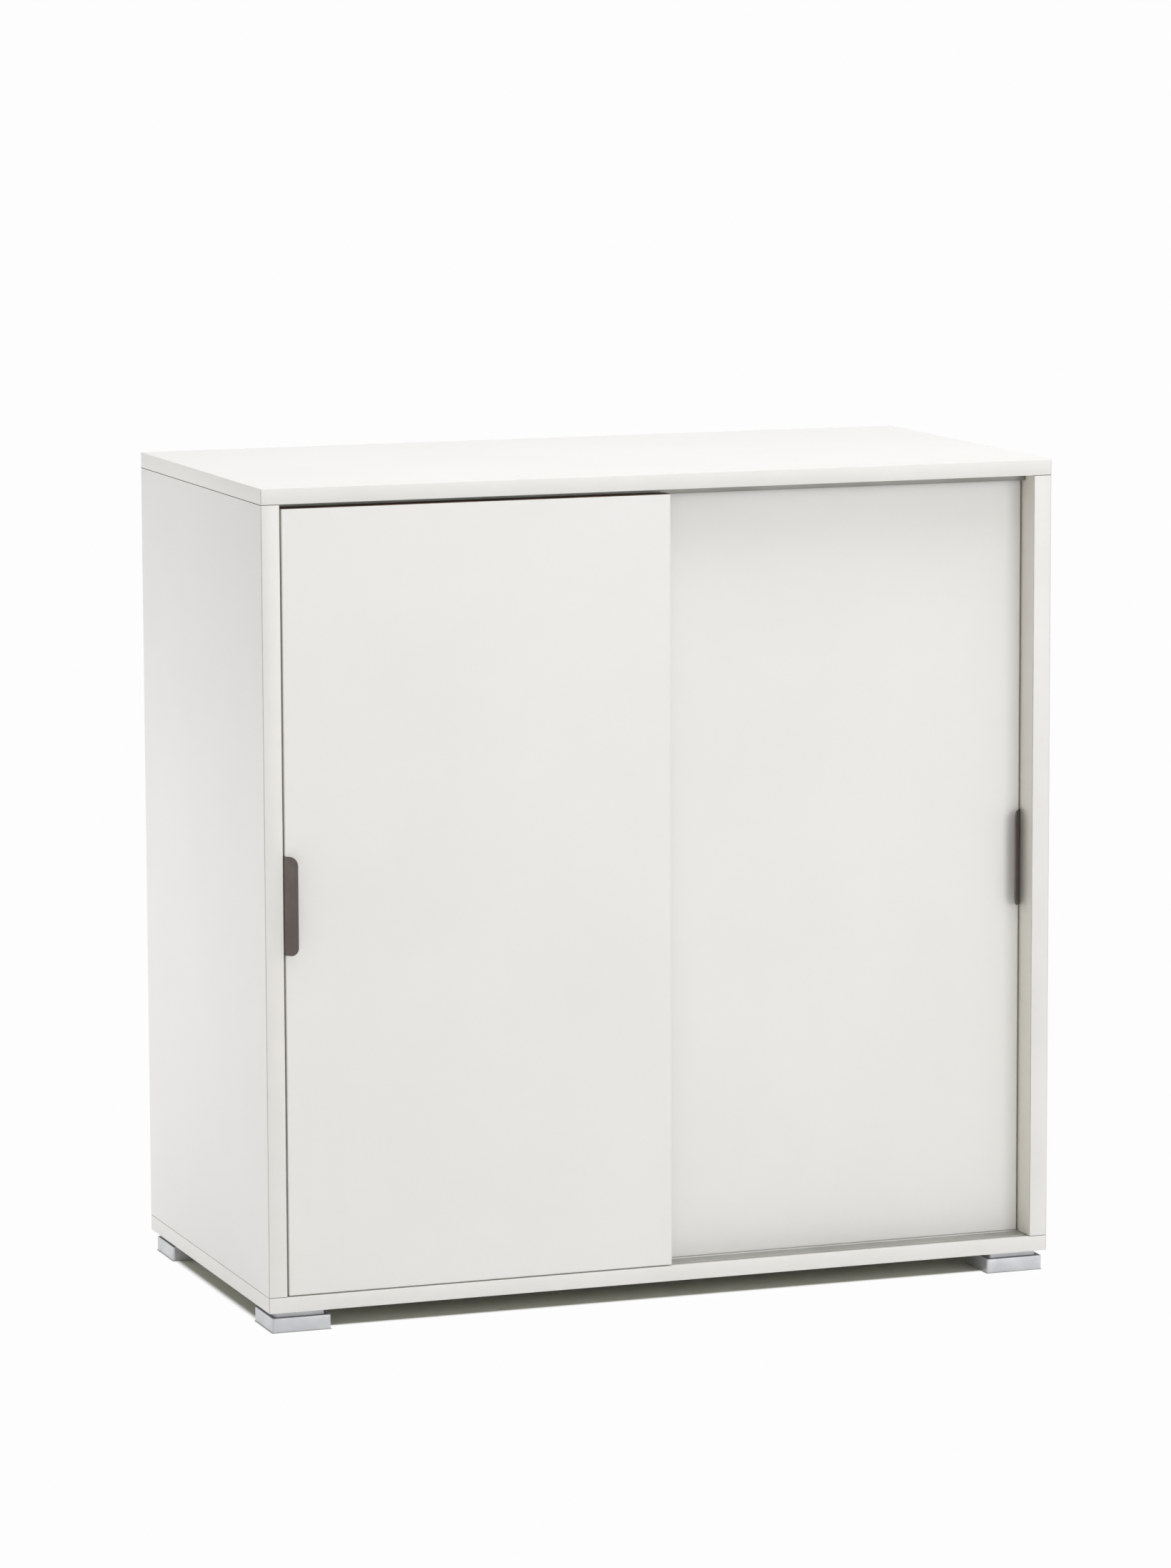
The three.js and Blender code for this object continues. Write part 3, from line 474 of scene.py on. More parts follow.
# The dark tone is partly the coating and partly painted reflection of the dark surroundings that the
# handles face.
handle_coating_painted_reflection = finish("handle_coating_dark_painted_reflection", paint(120, 110, 105), paint(101, 92, 88),
                        grain_mm=0.9, patch_mm=60, gloss=0.46, relief_mm=0.03, speckle=0.8,
                        metallic=0.3)
silver_plastic = finish("silver_foot_plastic", paint(217, 218, 220), paint(203, 205, 209),
                        grain_mm=0.5, patch_mm=20, gloss=0.34, relief_mm=0.004, speckle=0.25,
                        metallic=0.3)
# Painted shade: the ledge round the neck is a dark grey that stands in for the shade under the bottom
# panel.
ledge_painted_shade = finish("matt_foot_ledge", paint(122, 122, 124), paint(112, 112, 114),
                       grain_mm=0.5, patch_mm=20, gloss=0.7, relief_mm=0.02)
black_plastic = finish("black_plastic", paint(38, 38, 38), paint(30, 30, 30),
                       grain_mm=0.5, patch_mm=15, gloss=0.45, relief_mm=0.02)
white_plastic = finish("white_nylon", paint(232, 231, 225), paint(226, 224, 216),
                       grain_mm=0.8, patch_mm=8, gloss=0.38, relief_mm=0.01)
zinc_plate = finish("zinc_plated_steel", paint(196, 197, 196), paint(176, 178, 178),
                    grain_mm=0.6, patch_mm=4, gloss=0.28, relief_mm=0.006, metallic=1.0)
cast_zinc = finish("cast_zinc", paint(150, 152, 153), paint(134, 136, 138),
                   grain_mm=0.5, patch_mm=6, gloss=0.45, relief_mm=0.03, metallic=0.9)
print("finishes in all:", len(bpy.data.materials))

# %% [markdown]
# The back is thin hardboard. Its inner face is lacquered white, and its outer face is left
# bare, brown and slightly fibrous. One material does both: the last fifth of a millimetre of the
# sheet's depth is the bare side.

# %% Hardboard finish
back_low, back_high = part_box("left_back_panel")
back_skin = 0.2 * MM
hardboard = finish("white_backed_hardboard", paint(231, 229, 222), paint(229, 227, 220),
                   grain_mm=1.0, patch_mm=90, gloss=0.6, relief_mm=0.01)
hardboard_tree = hardboard.node_tree
bare_fibre = wire(hardboard_tree, "ShaderNodeGroup", {"node_tree": grain_group},
                  Colour=paint(172, 140, 104), Shade=paint(158, 126, 92), Grain_Size=0.7 * MM,
                  Patch_Size=9 * MM, Speckle=0.7, Roughness=0.8, Roughness_Spread=0.1)
depth = wire(hardboard_tree, "ShaderNodeSeparateXYZ", None,
             Vector=wire(hardboard_tree, "ShaderNodeTexCoord").outputs["Object"]).outputs["Y"]
outside = maths(hardboard_tree, "GREATER_THAN", depth, back_high.y - back_skin)
base_colour = hardboard_tree.nodes["Principled BSDF"].inputs["Base Color"]
two_sided = mixed_colour(hardboard_tree, outside, base_colour.links[0].from_socket,
                         bare_fibre.outputs["Colour"])
hardboard_tree.links.new(two_sided, base_colour)
for back_panel in ("left_back_panel", "right_back_panel"):
    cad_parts[back_panel].data.materials.clear()
    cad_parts[back_panel].data.materials.append(hardboard)
print("back panels are", round((back_high.y - back_low.y) / MM, 2), "mm thick")

# %% [markdown]
# Mesh helpers. Each new piece is built where it stands, so its object keeps the origin and its
# place is in its mesh. Modifiers finish the shape and are then applied, so that what rides on a
# body is a plain mesh.

# %% Mesh helpers
cut_tolerance = 1e-7
merge_distance = 1e-6


def object_from(name, mesh_source, materials):
    """A linked object from a bmesh, with its materials."""
    mesh = bpy.data.meshes.new(name)
    mesh_source.to_mesh(mesh)
    mesh_source.free()
    for material in materials:
        mesh.materials.append(material)
    return linked(name, mesh)


def applied(piece):
    """Replaces a piece's mesh by what its modifiers make of it."""
    graph = bpy.context.evaluated_depsgraph_get()
    graph.update()
    mesh = bpy.data.meshes.new_from_object(piece.evaluated_get(graph))
    piece.modifiers.clear()
    piece.data = mesh
    return piece


def cut_with(piece, cutter, operation="DIFFERENCE"):
    """Cuts or joins a piece with another, which then goes. New faces keep the cutter's finish."""
    boolean = piece.modifiers.new("cut", "BOOLEAN")
    boolean.operation = operation
    boolean.solver = "EXACT"
    boolean.material_mode = "TRANSFER"
    boolean.object = cutter
    applied(piece)
    bpy.data.objects.remove(cutter)
    return piece


def rounded(piece, radius, segments=3, angle=30):
    """Rounds every arris that is sharper than an angle."""
    bevel = piece.modifiers.new("arris", "BEVEL")
    bevel.width = radius
    bevel.segments = segments
    bevel.limit_method = "ANGLE"
    bevel.angle_limit = math.radians(angle)
    bevel.harden_normals = False
    return applied(piece)


def smooth_by_angle(piece, angle=25):
    """Shades a piece smooth, but keeps edges that turn more than an angle sharp."""
    piece.data.shade_smooth()
    piece.data.set_sharp_from_angle(angle=math.radians(angle))
    return piece


def dress(piece, body, slot, *nodes):
    """Lets a finished piece ride on its body and stand for its nodes of the model."""
    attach(piece, body)
    if nodes:
        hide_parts(*nodes)
    return piece


def add_block(source, low, high):
    """Adds a sharp box between two corners to a bmesh and returns its edges."""
    low, high = Vector(low), Vector(high)
    cube = bmesh.ops.create_cube(source, size=1)
    for corner in cube["verts"]:
        shares = corner.co + Vector((0.5, 0.5, 0.5))
        corner.co = Vector(a + (b - a) * t for a, b, t in zip(low, high, shares))
    return list(dict.fromkeys(edge for corner in cube["verts"] for edge in corner.link_edges))


def add_prism(source, outline, push):
    """Adds a solid to a bmesh: an outline of points, pushed along a vector. It is built face by
    face, so that its points have the same order in every run."""
    near = [source.verts.new(point) for point in outline]
    far = [source.verts.new(Vector(point) + Vector(push)) for point in outline]
    source.faces.new(near)
    source.faces.new(far[::-1])
    for index, corner in enumerate(near):
        source.faces.new((corner, near[index - 1], far[index - 1], far[index]))
    bmesh.ops.recalc_face_normals(source, faces=source.faces)


def score(source, point, normal):
    """Cuts the faces of a bmesh along a plane, and leaves all of them in place."""
    parts = source.verts[:] + source.edges[:] + source.faces[:]
    bmesh.ops.bisect_plane(source, geom=parts, dist=cut_tolerance, plane_co=point, plane_no=normal)


print("points closer than", merge_distance, "m are merged")

# %% [markdown]
# A board starts as a box with rounded arrises. It is then cut: the groove that holds the back,
# the rows of shelf pin holes, the pockets of the cam locks, and the recess of the bottom track.
# Rows of holes are what Geometry Nodes are good at. One tree sets copies of a piece on points,
# turns each copy as its point says, and gives the copies their finish. The same tree places
# the drills here and the shelf pins, cams and screws later.

# %% The tree that sets copies on points


def coated_end(tree, geometry, tree_in, tree_out):
    """Ends a tree: what it made becomes one real mesh and gets the finish of the tree's input."""
    real = wire(tree, "GeometryNodeRealizeInstances", None, Geometry=geometry)
    coated = wire(tree, "GeometryNodeSetMaterial", None, Geometry=real.outputs["Geometry"],
                  Material=tree_in["Finish"])
    tree.links.new(coated.outputs["Geometry"], tree_out["Geometry"])
    print("tree", tree.name, "with", len(tree.nodes), "nodes")


copies, copies_in, copies_out = new_group(
    "copies_on_points", [("Geometry", SOLID), ("Copied Piece", PIECE), ("Finish", COATING)],
    [("Geometry", SOLID)], "GeometryNodeTree")
copied = wire(copies, "GeometryNodeObjectInfo", {"transform_space": "ORIGINAL"},
              Object=copies_in["Copied Piece"])
facing = wire(copies, "GeometryNodeInputNamedAttribute", {"data_type": "FLOAT_VECTOR"}, Name="turn")
on_points = wire(copies, "GeometryNodeInstanceOnPoints", None, Points=copies_in["Geometry"],
                 Instance=copied.outputs["Geometry"], Rotation=facing.outputs["Attribute"])
coated_end(copies, on_points.outputs["Instances"], copies_in, copies_out)

# %% A helper that uses the tree


def use_tree(piece, tree, values):
    """Runs a Geometry Nodes tree on a piece with values for its named inputs, and applies it."""
    modifier = piece.modifiers.new(tree.name, "NODES")
    modifier.node_group = tree
    for item in tree.interface.items_tree:
        if item.in_out == "INPUT" and item.name in values:
            modifier[item.identifier] = values[item.name]
    return applied(piece)


def copies_at(name, places, piece, material):
    """Copies of a piece at places, each a point and an Euler turn, as one mesh."""
    mesh = bpy.data.meshes.new(name)
    mesh.from_pydata([point for point, _ in places], [], [])
    turns = mesh.attributes.new("turn", "FLOAT_VECTOR", "POINT")
    for index, (_, turn_of_copy) in enumerate(places):
        turns.data[index].vector = turn_of_copy
    made = linked(name, mesh)
    use_tree(made, copies, {"Copied Piece": piece, "Finish": material})
    bpy.data.objects.remove(piece)
    return made


print("inputs of the tree:", [item.name for item in copies.interface.items_tree
                              if item.in_out == "INPUT"])

# %% [markdown]
# The drills. A shelf pin hole is a little wider than the 5 mm peg and 7 mm deep, and the holes of a
# column are 32 mm apart, as in all cabinets of this kind. The model's shelf pins sit in the middle
# hole of each column, so the columns are laid out from them.

# %% Shelf pin holes and cam pockets
pin_hole_radius = 2.8 * MM
pin_hole_depth = 7 * MM
pin_hole_pitch = 32 * MM
pin_column_holes = 5
pin_hole_sides = 32
pin_radius = 2.5 * MM
pin_peg_reach = 6.5 * MM
cut_overrun = 1 * MM
towards_right = (0, math.radians(90), 0)
towards_left = (0, math.radians(-90), 0)


def drill(name, radius, depth, sides):
    """A drill that starts at the origin, a little outside, and goes up along Z."""
    source = bmesh.new()
    bmesh.ops.create_cone(source, cap_ends=True, segments=sides, radius1=radius, radius2=radius,
                          depth=depth + cut_overrun,
                          matrix=Matrix.Translation((0, 0, (depth - cut_overrun) / 2)))
    return object_from(name, source, [chipboard])


pin_nodes = [f"{side}_shelf_pin_{number}" for side in ("left", "right") for number in (1, 2, 3, 4)]


def pin_entry(node):
    """Where a shelf pin enters its board, and whether it points to the left: the first two of
    each bay do."""
    low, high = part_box(node)
    into_left = node[-1] in "12"
    face = low.x + pin_peg_reach if into_left else high.x - pin_peg_reach
    return Vector((face, middle_of(node).y, high.z - pin_radius)), into_left


pin_entries = [pin_entry(node) for node in pin_nodes]


def column_holes(entries):
    """Every hole of the columns that the given pins sit in."""
    middle = (pin_column_holes - 1) / 2
    return [
        (entry + Vector((0, 0, (row - middle) * pin_hole_pitch)),
         towards_left if into_left else towards_right)
        for entry, into_left in entries
        for row in range(pin_column_holes)
    ]


print("shelf pins enter their boards at x =", sorted({round(e.x, 4) for e, _ in pin_entries}))

# %% [markdown]
# The edge bands are not separate bodies on a finished board: they are glued on and trimmed
# flush. What shows is a hairline on the face, one band thickness in from the edge. Two straight
# cuts through the mesh, about a tenth of a millimetre apart, give each hairline its own narrow
# faces without changing the shape, and those faces get the glue's colour.

# %% Glue lines
band_thickness = 0.8 * MM
glue_width = 0.12 * MM
flat_share = 0.98
leaning_share = 0.05
Z = 2


def glue_lines(source, low, high, banded, corner):
    """Cuts the hairlines into the faces and colours faces by what they are on a real board; bare
    ends along Z take the darker core of painted shade.

    Banded lists the covered edges, such as "-x" or "+y". Corner is the finish of the upright
    arrises between a band and a face."""
    thin = min(range(3), key=lambda axis: high[axis] - low[axis])
    strips = []
    for edge in banded:
        axis = "xyz".index(edge[1])
        inward = 1 if edge[0] == "-" else -1
        outer = (low if inward > 0 else high)[axis]
        near = outer + inward * band_thickness
        far = near + inward * glue_width
        strips.append((axis, min(near, far), max(near, far)))
        for cut in (near, far):
            normal = Vector([1.0 if other == axis else 0.0 for other in range(3)])
            score(source, normal * cut, normal)
    covered = {(edge[0], "xyz".index(edge[1])) for edge in banded}
    for face in source.faces:
        if face.material_index == CORE:
            continue
        middle = face.calc_center_median()
        steep = max(range(3), key=lambda axis: abs(face.normal[axis]))
        sign = "-" if face.normal[steep] < 0 else "+"
        if abs(face.normal[steep]) > flat_share:
            if steep == thin:
                on_strip = any(a <= middle[axis] <= b for axis, a, b in strips)
                face.material_index = GLUE if on_strip else FACE
            else:
                face.material_index = BAND if (sign, steep) in covered else CORE
        else:
            face.material_index = arris_material(face.normal, thin, covered, corner)


def arris_material(normal, thin, covered, corner):
    """A rounded arris is band where two bands meet a face, glue at an upright corner, and bare
    board at an end that has no band. At a bare end along Z the core is painted darker, as
    painted shade of the crevice."""
    leaning = [axis for axis in range(3) if abs(normal[axis]) > leaning_share]
    edges = [("-" if normal[axis] < 0 else "+", axis) for axis in leaning if axis != thin]
    bare = [axis for sign, axis in edges if (sign, axis) not in covered]
    if bare:
        return CORE_PAINTED_SHADE if Z in bare else CORE
    return corner if abs(normal.z) < leaning_share else BAND


print("glue line", glue_width / MM, "mm wide,", band_thickness / MM, "mm in from the edge")

# %% The board maker
arris_radius = 0.5 * MM
arris_segments = 3


def make_board(node, body, banded, cutter=None, name=None, corner=JOINT):
    """A board with rounded arrises, its cuts and its bands, in place of a node of the model."""
    low, high = board_extent(node)
    source = bmesh.new()
    edges = add_block(source, low, high)
    bmesh.ops.bevel(source, geom=edges, offset=arris_radius, segments=arris_segments,
                    profile=0.5, affect="EDGES")
    board = object_from(name or f"{node}_board", source, board_finishes)
    if cutter:
        cut_with(board, cutter)
    source = bmesh.new()
    source.from_mesh(board.data)
    glue_lines(source, low, high, banded, corner)
    source.to_mesh(board.data)
    source.free()
    return dress(smooth_by_angle(board, angle=20), body, "white_board", node)


def board_extent(node):
    """The board itself, without the dowels and bolts that stand out of an upright's ends."""
    low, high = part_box(node)
    if node in uprights:
        low = Vector((low.x, low.y, floor_z))
        high = Vector((high.x, high.y, ceiling_z))
    return low, high


uprights = ("left_side_panel", "right_side_panel", "centre_divider")
floor_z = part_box("bottom_panel")[1].z
ceiling_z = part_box("top_panel")[0].z
print("inner height", round((ceiling_z - floor_z) / MM, 2), "mm")

# %% [markdown]
# Top and bottom. Both have a shallow groove near the back, which takes the hardboard. The
# bottom is also milled out for the track: a shallow bed for its web and a deeper slot for each
# of the two grooves that the wheels run in.

# %% Top and bottom panels
groove_clearance = 0.3 * MM
groove_end_gap = 0.5 * MM
groove_y = (back_low.y - groove_clearance, back_high.y + groove_clearance)
groove_x = (back_low.x - groove_end_gap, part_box("right_back_panel")[1].x + groove_end_gap)
groove_depth = floor_z - back_low.z + groove_end_gap


def groove_cutter(low_z, high_z, x=groove_x):
    """A sharp box that cuts the groove of the back."""
    source = bmesh.new()
    add_block(source, (x[0], groove_y[0], low_z), (x[1], groove_y[1], high_z))
    return object_from("groove_cutter", source, [chipboard])


top_cutter = groove_cutter(ceiling_z - cut_overrun, ceiling_z + groove_depth)
top_board = make_board("top_panel", "carcass", ["-x", "+x", "-y"], top_cutter)

track_low, track_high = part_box("bottom_track")
web_proud = 0.25 * MM
web_top = floor_z + web_proud
recess_clearance = 0.5 * MM
recess_slot = 8.6 * MM
wheel_lines = [middle_of(f"{door}_left_wheel").y for door in ("front_door", "rear_door")]
web_thickness = 1.25 * MM
inner_x = (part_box("left_side_panel")[1].x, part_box("right_side_panel")[0].x)
web_bed = web_top - web_thickness
slot_bed = track_low.z - recess_clearance


def bottom_cutter():
    """The bed of the track's web, its two slots and the groove of the back."""
    front, rear = track_low.y - recess_clearance, track_high.y + recess_clearance
    corners = []
    for line in wheel_lines:
        corners += [(line - recess_slot / 2, web_bed), (line - recess_slot / 2, slot_bed),
                    (line + recess_slot / 2, slot_bed), (line + recess_slot / 2, web_bed)]
    corners += [(rear, web_bed), (rear, floor_z + cut_overrun), (front, floor_z + cut_overrun)]
    source = bmesh.new()
    add_prism(source, [(inner_x[0], y, z) for y, z in corners], (inner_x[1] - inner_x[0], 0, 0))
    add_block(source, (groove_x[0], groove_y[0], floor_z - groove_depth),
              (groove_x[1], groove_y[1], floor_z + cut_overrun))
    return object_from("bottom_cutter", source, [chipboard])


bottom_board = make_board("bottom_panel", "carcass", ["-x", "+x", "-y"], bottom_cutter())
print("groove", round(groove_depth / MM, 2), "mm deep, track bed", round((floor_z - web_bed) / MM, 2))

# %% [markdown]
# The uprights are drilled on their inner faces. A side panel has two columns of pin holes, four
# pockets for its cam locks and the groove of the back. The divider stands behind the doors and
# is drilled on both faces. All faces that look into the cabinet, the shelves' too, get a warmer,
# slightly darker white than the outer ones: painted warm bounce light and shade.

# %% Side panels and divider
cam_pocket_radius = 7.7 * MM
cam_pocket_depth = 12.3 * MM
cam_pocket_sides = 48
same_face = 0.1 * MM
cam_levels = ("bottom_front", "bottom_rear", "top_front", "top_rear")


def joined_mesh(name, objects):
    """One object from several, with their meshes added together."""
    source = bmesh.new()
    materials = list(objects[0].data.materials)
    for item in objects:
        source.from_mesh(item.data)
        bpy.data.objects.remove(item)
    return object_from(name, source, materials)


def holes_in(face_x):
    """Drills for every pin hole that starts at a face."""
    entries = [(entry, left) for entry, left in pin_entries if abs(entry.x - face_x) < same_face]
    hole = drill("pin_drill", pin_hole_radius, pin_hole_depth, pin_hole_sides)
    return copies_at("pin_drills", column_holes(entries), hole, chipboard)


def brought_to(x, node):
    """The middle of a node, moved along X to a face."""
    middle = middle_of(node)
    return Vector((x, middle.y, middle.z))


def cam_places(side):
    """Where each cam of a side sits: the middle of its slotted face."""
    face_x = inner_x[0] if side == "left" else inner_x[1]
    return [brought_to(face_x, f"{side}_cam_lock_{level}") for level in cam_levels]


def side_cutter(side):
    """All cuts in the inner face of a side panel."""
    inner = inner_x[0] if side == "left" else inner_x[1]
    heading = towards_left if side == "left" else towards_right
    pocket = drill("cam_drill", cam_pocket_radius, cam_pocket_depth, cam_pocket_sides)
    pockets = copies_at("cam_drills", [(at, heading) for at in cam_places(side)], pocket, chipboard)
    outer_end = groove_x[0] if side == "left" else groove_x[1]
    inner_end = inner + (cut_overrun if side == "left" else -cut_overrun)
    reach = (min(outer_end, inner_end), max(outer_end, inner_end))
    groove = groove_cutter(floor_z - cut_overrun, ceiling_z + cut_overrun, reach)
    return joined_mesh("side_cutter", [groove, pockets, holes_in(inner)])


def refaced(board, was, now, chosen):
    """Gives the faces of one finish another finish where a test of the face says so."""
    for face in board.data.polygons:
        if face.material_index == was and chosen(face):
            face.material_index = now
    return board


side_boards = [make_board(f"{side}_side_panel", "carcass", ["-y"], side_cutter(side))
               for side in ("left", "right")]
divider_low, divider_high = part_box("centre_divider")
divider_cutter = joined_mesh("divider_cutter", [holes_in(divider_low.x), holes_in(divider_high.x)])
divider_board = make_board("centre_divider", "carcass", ["-y"], divider_cutter)
shelf_boards = [make_board(f"{side}_shelf", "carcass", ["-y"]) for side in ("left", "right")]

inner_ways = [(top_board, (0, 0, -1)), (bottom_board, (0, 0, 1)), (side_boards[0], (1, 0, 0)),
              (side_boards[1], (-1, 0, 0)), (divider_board, (1, 0, 0)), (divider_board, (-1, 0, 0))]
inner_ways += [(shelf, (0, 0, way)) for shelf in shelf_boards for way in (1, -1)]
# Faces that look inside take the white of painted warm bounce light and shade.
for board, way in inner_ways:
    refaced(board, FACE, INSIDE_PAINTED_SHADE, lambda face: face.normal.dot(Vector(way)) > flat_share)

# %% [markdown]
# The doors are boards with a band on three edges: the top edge, which hides in the gap under
# the cabinet's top, is left bare, and is painted dark brown, darker than the bare core, as
# painted shade of that gap. Each door has two pockets in its lower edge for the roller
# housings, and slides on its own body of the model.

# %% Doors
doors = {"front_door": -1, "rear_door": 1}
ends = ("left", "right")
pocket_clearance = 0.3 * MM
housing_flange = 2 * MM
housing_side = 3.1 * MM


def pocket_cutter(door):
    """The pockets for a door's two roller housings, each with a shallow bed for its flange."""
    source = bmesh.new()
    for end in ends:
        low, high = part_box(f"{door}_{end}_roller_housing")
        wheel_low, wheel_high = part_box(f"{door}_{end}_wheel")
        deep = (wheel_high.x - wheel_low.x) / 2 + housing_side
        middle = middle_of(f"{door}_{end}_wheel").x
        y0, y1 = low.y - pocket_clearance, high.y + pocket_clearance
        flange_top, under = low.z + housing_flange, low.z - cut_overrun
        outline = [
            (low.x - pocket_clearance, under), (high.x + pocket_clearance, under),
            (high.x + pocket_clearance, flange_top), (middle + deep, flange_top),
            (middle + deep, high.z + pocket_clearance), (middle - deep, high.z + pocket_clearance),
            (middle - deep, flange_top), (low.x - pocket_clearance, flange_top),
        ]
        add_prism(source, [(x, y0, z) for x, z in outline], (0, y1 - y0, 0))
    return object_from("pocket_cutter", source, [chipboard])


for door in doors:
    leaf = make_board(door, door, ["-x", "+x", "-z"], pocket_cutter(door), f"{door}_leaf", BAND)
    top_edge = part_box(door)[1].z - arris_radius
    # Painted shade: the bare top edge takes the darker core, for the shade of the gap under the top.
    refaced(leaf, CORE, CORE_PAINTED_SHADE, lambda face: face.normal.z > flat_share and face.center.z > top_edge)
print("doors:", list(doors))

# %% [markdown]
# Profiles. The two tracks and the plastic strip that joins the back panels are all made by
# pushing material through a die, so one tree makes all three: it takes a drawn section, rounds
# its corners and carries it along a straight line.

# %% The tree that draws a profile
profile, profile_in, profile_out = new_group(
    "drawn_profile",
    [("Geometry", SOLID), ("Length", FLOAT), ("Corner Radius", FLOAT), ("Corner Steps", WHOLE),
     ("Start", VECTOR), ("Turn", VECTOR), ("Finish", COATING)],
    [("Geometry", SOLID)], "GeometryNodeTree")
far_end = wire(profile, "ShaderNodeCombineXYZ", None, Z=profile_in["Length"])
die_line = wire(profile, "GeometryNodeCurvePrimitiveLine", None, End=far_end.outputs[0])


def carried_end(tree, tree_in, tree_out, rail, steps, place, capped):
    """Ends a tree: its outline gets round corners, is carried along a rail, turned and placed."""
    outline = wire(tree, "GeometryNodeMeshToCurve", None, Mesh=tree_in["Geometry"])
    eased = wire(tree, "GeometryNodeFilletCurve", {"mode": "POLY"}, Limit_Radius=True,
                 Curve=outline.outputs["Curve"], Count=steps, Radius=tree_in["Corner Radius"])
    carried = wire(tree, "GeometryNodeCurveToMesh", None, Curve=rail.outputs["Curve"],
                   Profile_Curve=eased.outputs["Curve"], Fill_Caps=capped)
    placed = wire(tree, "GeometryNodeTransform", None, Geometry=carried.outputs["Mesh"],
                  Translation=place, Rotation=tree_in["Turn"])
    coated_end(tree, placed.outputs["Geometry"], tree_in, tree_out)


carried_end(profile, profile_in, profile_out, die_line, steps=profile_in["Corner Steps"],
            place=profile_in["Start"], capped=True)

# %% A helper that draws a profile
along_x = (math.radians(90), 0, math.radians(90))
along_z = (0, 0, 0)


def outline_object(name, section):
    """An object whose mesh is a closed outline in its own plane."""
    count = len(section)
    mesh = bpy.data.meshes.new(name)
    edges = [(index, (index + 1) % count) for index in range(count)]
    mesh.from_pydata([(a, b, 0) for a, b in section], edges, [])
    return linked(name, mesh)


def drawn(name, section, start, length, turn_to, material, radius, steps=3):
    """A profile of a section, pushed from a start over a length and turned to its run."""
    made = outline_object(name, section)
    use_tree(made, profile, {
        "Length": length, "Corner Radius": radius, "Corner Steps": steps,
        "Start": start, "Turn": turn_to, "Finish": material,
    })
    faced_out(made)
    return smooth_by_angle(made, angle=50)


def faced_out(piece):
    """Turns a closed mesh the right way out, after its doubles are merged."""
    source = bmesh.new()
    source.from_mesh(piece.data)
    bmesh.ops.remove_doubles(source, verts=source.verts, dist=merge_distance)
    bmesh.ops.recalc_face_normals(source, faces=source.faces)
    source.to_mesh(piece.data)
    source.free()
    return piece


print("profiles run along X with the turn", [round(math.degrees(angle)) for angle in along_x])

# %% [markdown]
# The top track is a comb: a web against the top panel and two channels whose flanges hang down
# round the doors' guides. Its front flange shows as a grey strip above the rear door. The
# bottom track is nearly flush: only its web and the mouths of its two grooves show.

# %% Tracks
top_low, top_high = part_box("top_track")
top_web = 1.5 * MM
top_flange = 1.2 * MM
top_channel = 4.8 * MM
groove_wall = 1 * MM
wheel_groove = 4.6 * MM
groove_floor = track_low.z + groove_wall
rib_width = 1.2 * MM
rib_to_door = 0.8 * MM
rib_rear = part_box("rear_door")[0].y - rib_to_door
profile_radius = 0.18 * MM


def top_section():
    """The top track's section, y and z."""
    web = top_high.z - top_web
    outer = top_channel / 2 + top_flange
    lines = (top_low.y + outer, top_high.y - outer)
    comb = []
    for line in lines:
        comb += [(line - outer, top_low.z), (line - outer + top_flange, top_low.z),
                 (line - outer + top_flange, web), (line + outer - top_flange, web),
                 (line + outer - top_flange, top_low.z), (line + outer, top_low.z)]
        if line == lines[0]:
            comb += [(line + outer, web), (lines[1] - outer, web)]
    return [(top_low.y, top_high.z)] + comb + [(top_high.y, top_high.z)]


def bottom_section():
    """The bottom track's section, y and z."""
    under, over = [(track_low.y, track_low.z)], []
    for line in wheel_lines:
        half = wheel_groove / 2
        outer = half + groove_wall
        if line != wheel_lines[0]:
            over += [(rib_rear - rib_width, web_top), (rib_rear - rib_width, track_high.z),
                     (rib_rear, track_high.z), (rib_rear, web_top)]
            under += [(line - outer, web_bed), (line - outer, track_low.z)]
        under += [(line + outer, track_low.z), (line + outer, web_bed)]
        over += [(line - half, web_top), (line - half, groove_floor),
                 (line + half, groove_floor), (line + half, web_top)]
    return under + [(track_high.y, web_bed), (track_high.y, web_top)] + over[::-1] \
        + [(track_low.y, web_top)]


def track(node, section):
    """A track in place of its node, run along X."""
    low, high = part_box(node)
    start = Vector((low.x, 0, 0))
    made = drawn(f"{node}_profile", section, start, high.x - low.x, along_x, track_finishes[node],
                 profile_radius)
    return dress(made, "carcass", "aluminium", node)


track("top_track", top_section())
track("bottom_track", bottom_section())

strip_low, strip_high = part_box("back_joining_strip")
strip_web = 0.75 * MM
strip_lip = 1 * MM


def strip_section():
    """The joining strip's section, an H of x and y."""
    front, rear = strip_low.y, strip_high.y
    return [(strip_low.x, front), (strip_high.x, front), (strip_high.x, front + strip_lip),
            (strip_web, front + strip_lip), (strip_web, rear - strip_lip),
            (strip_high.x, rear - strip_lip), (strip_high.x, rear), (strip_low.x, rear),
            (strip_low.x, rear - strip_lip), (-strip_web, rear - strip_lip),
            (-strip_web, front + strip_lip), (strip_low.x, front + strip_lip)]


strip = drawn("back_joining_strip_profile", strip_section(), Vector((0, 0, strip_low.z)),
              strip_high.z - strip_low.z, along_z, white_plastic, profile_radius)
dress(strip, "carcass", "white_plastic", "back_joining_strip")

# %% [markdown]
# The feet are hollow mouldings: a block with a narrower neck, open below, with crossed ribs and
# a post inside. The upright corners have a two millimetre radius, which catches a line of
# light. The block's top ledge round the neck is painted dark grey: painted shade under the
# bottom panel. One foot is made at the origin, cut and joined with booleans, and then set at
# the four places of the model.

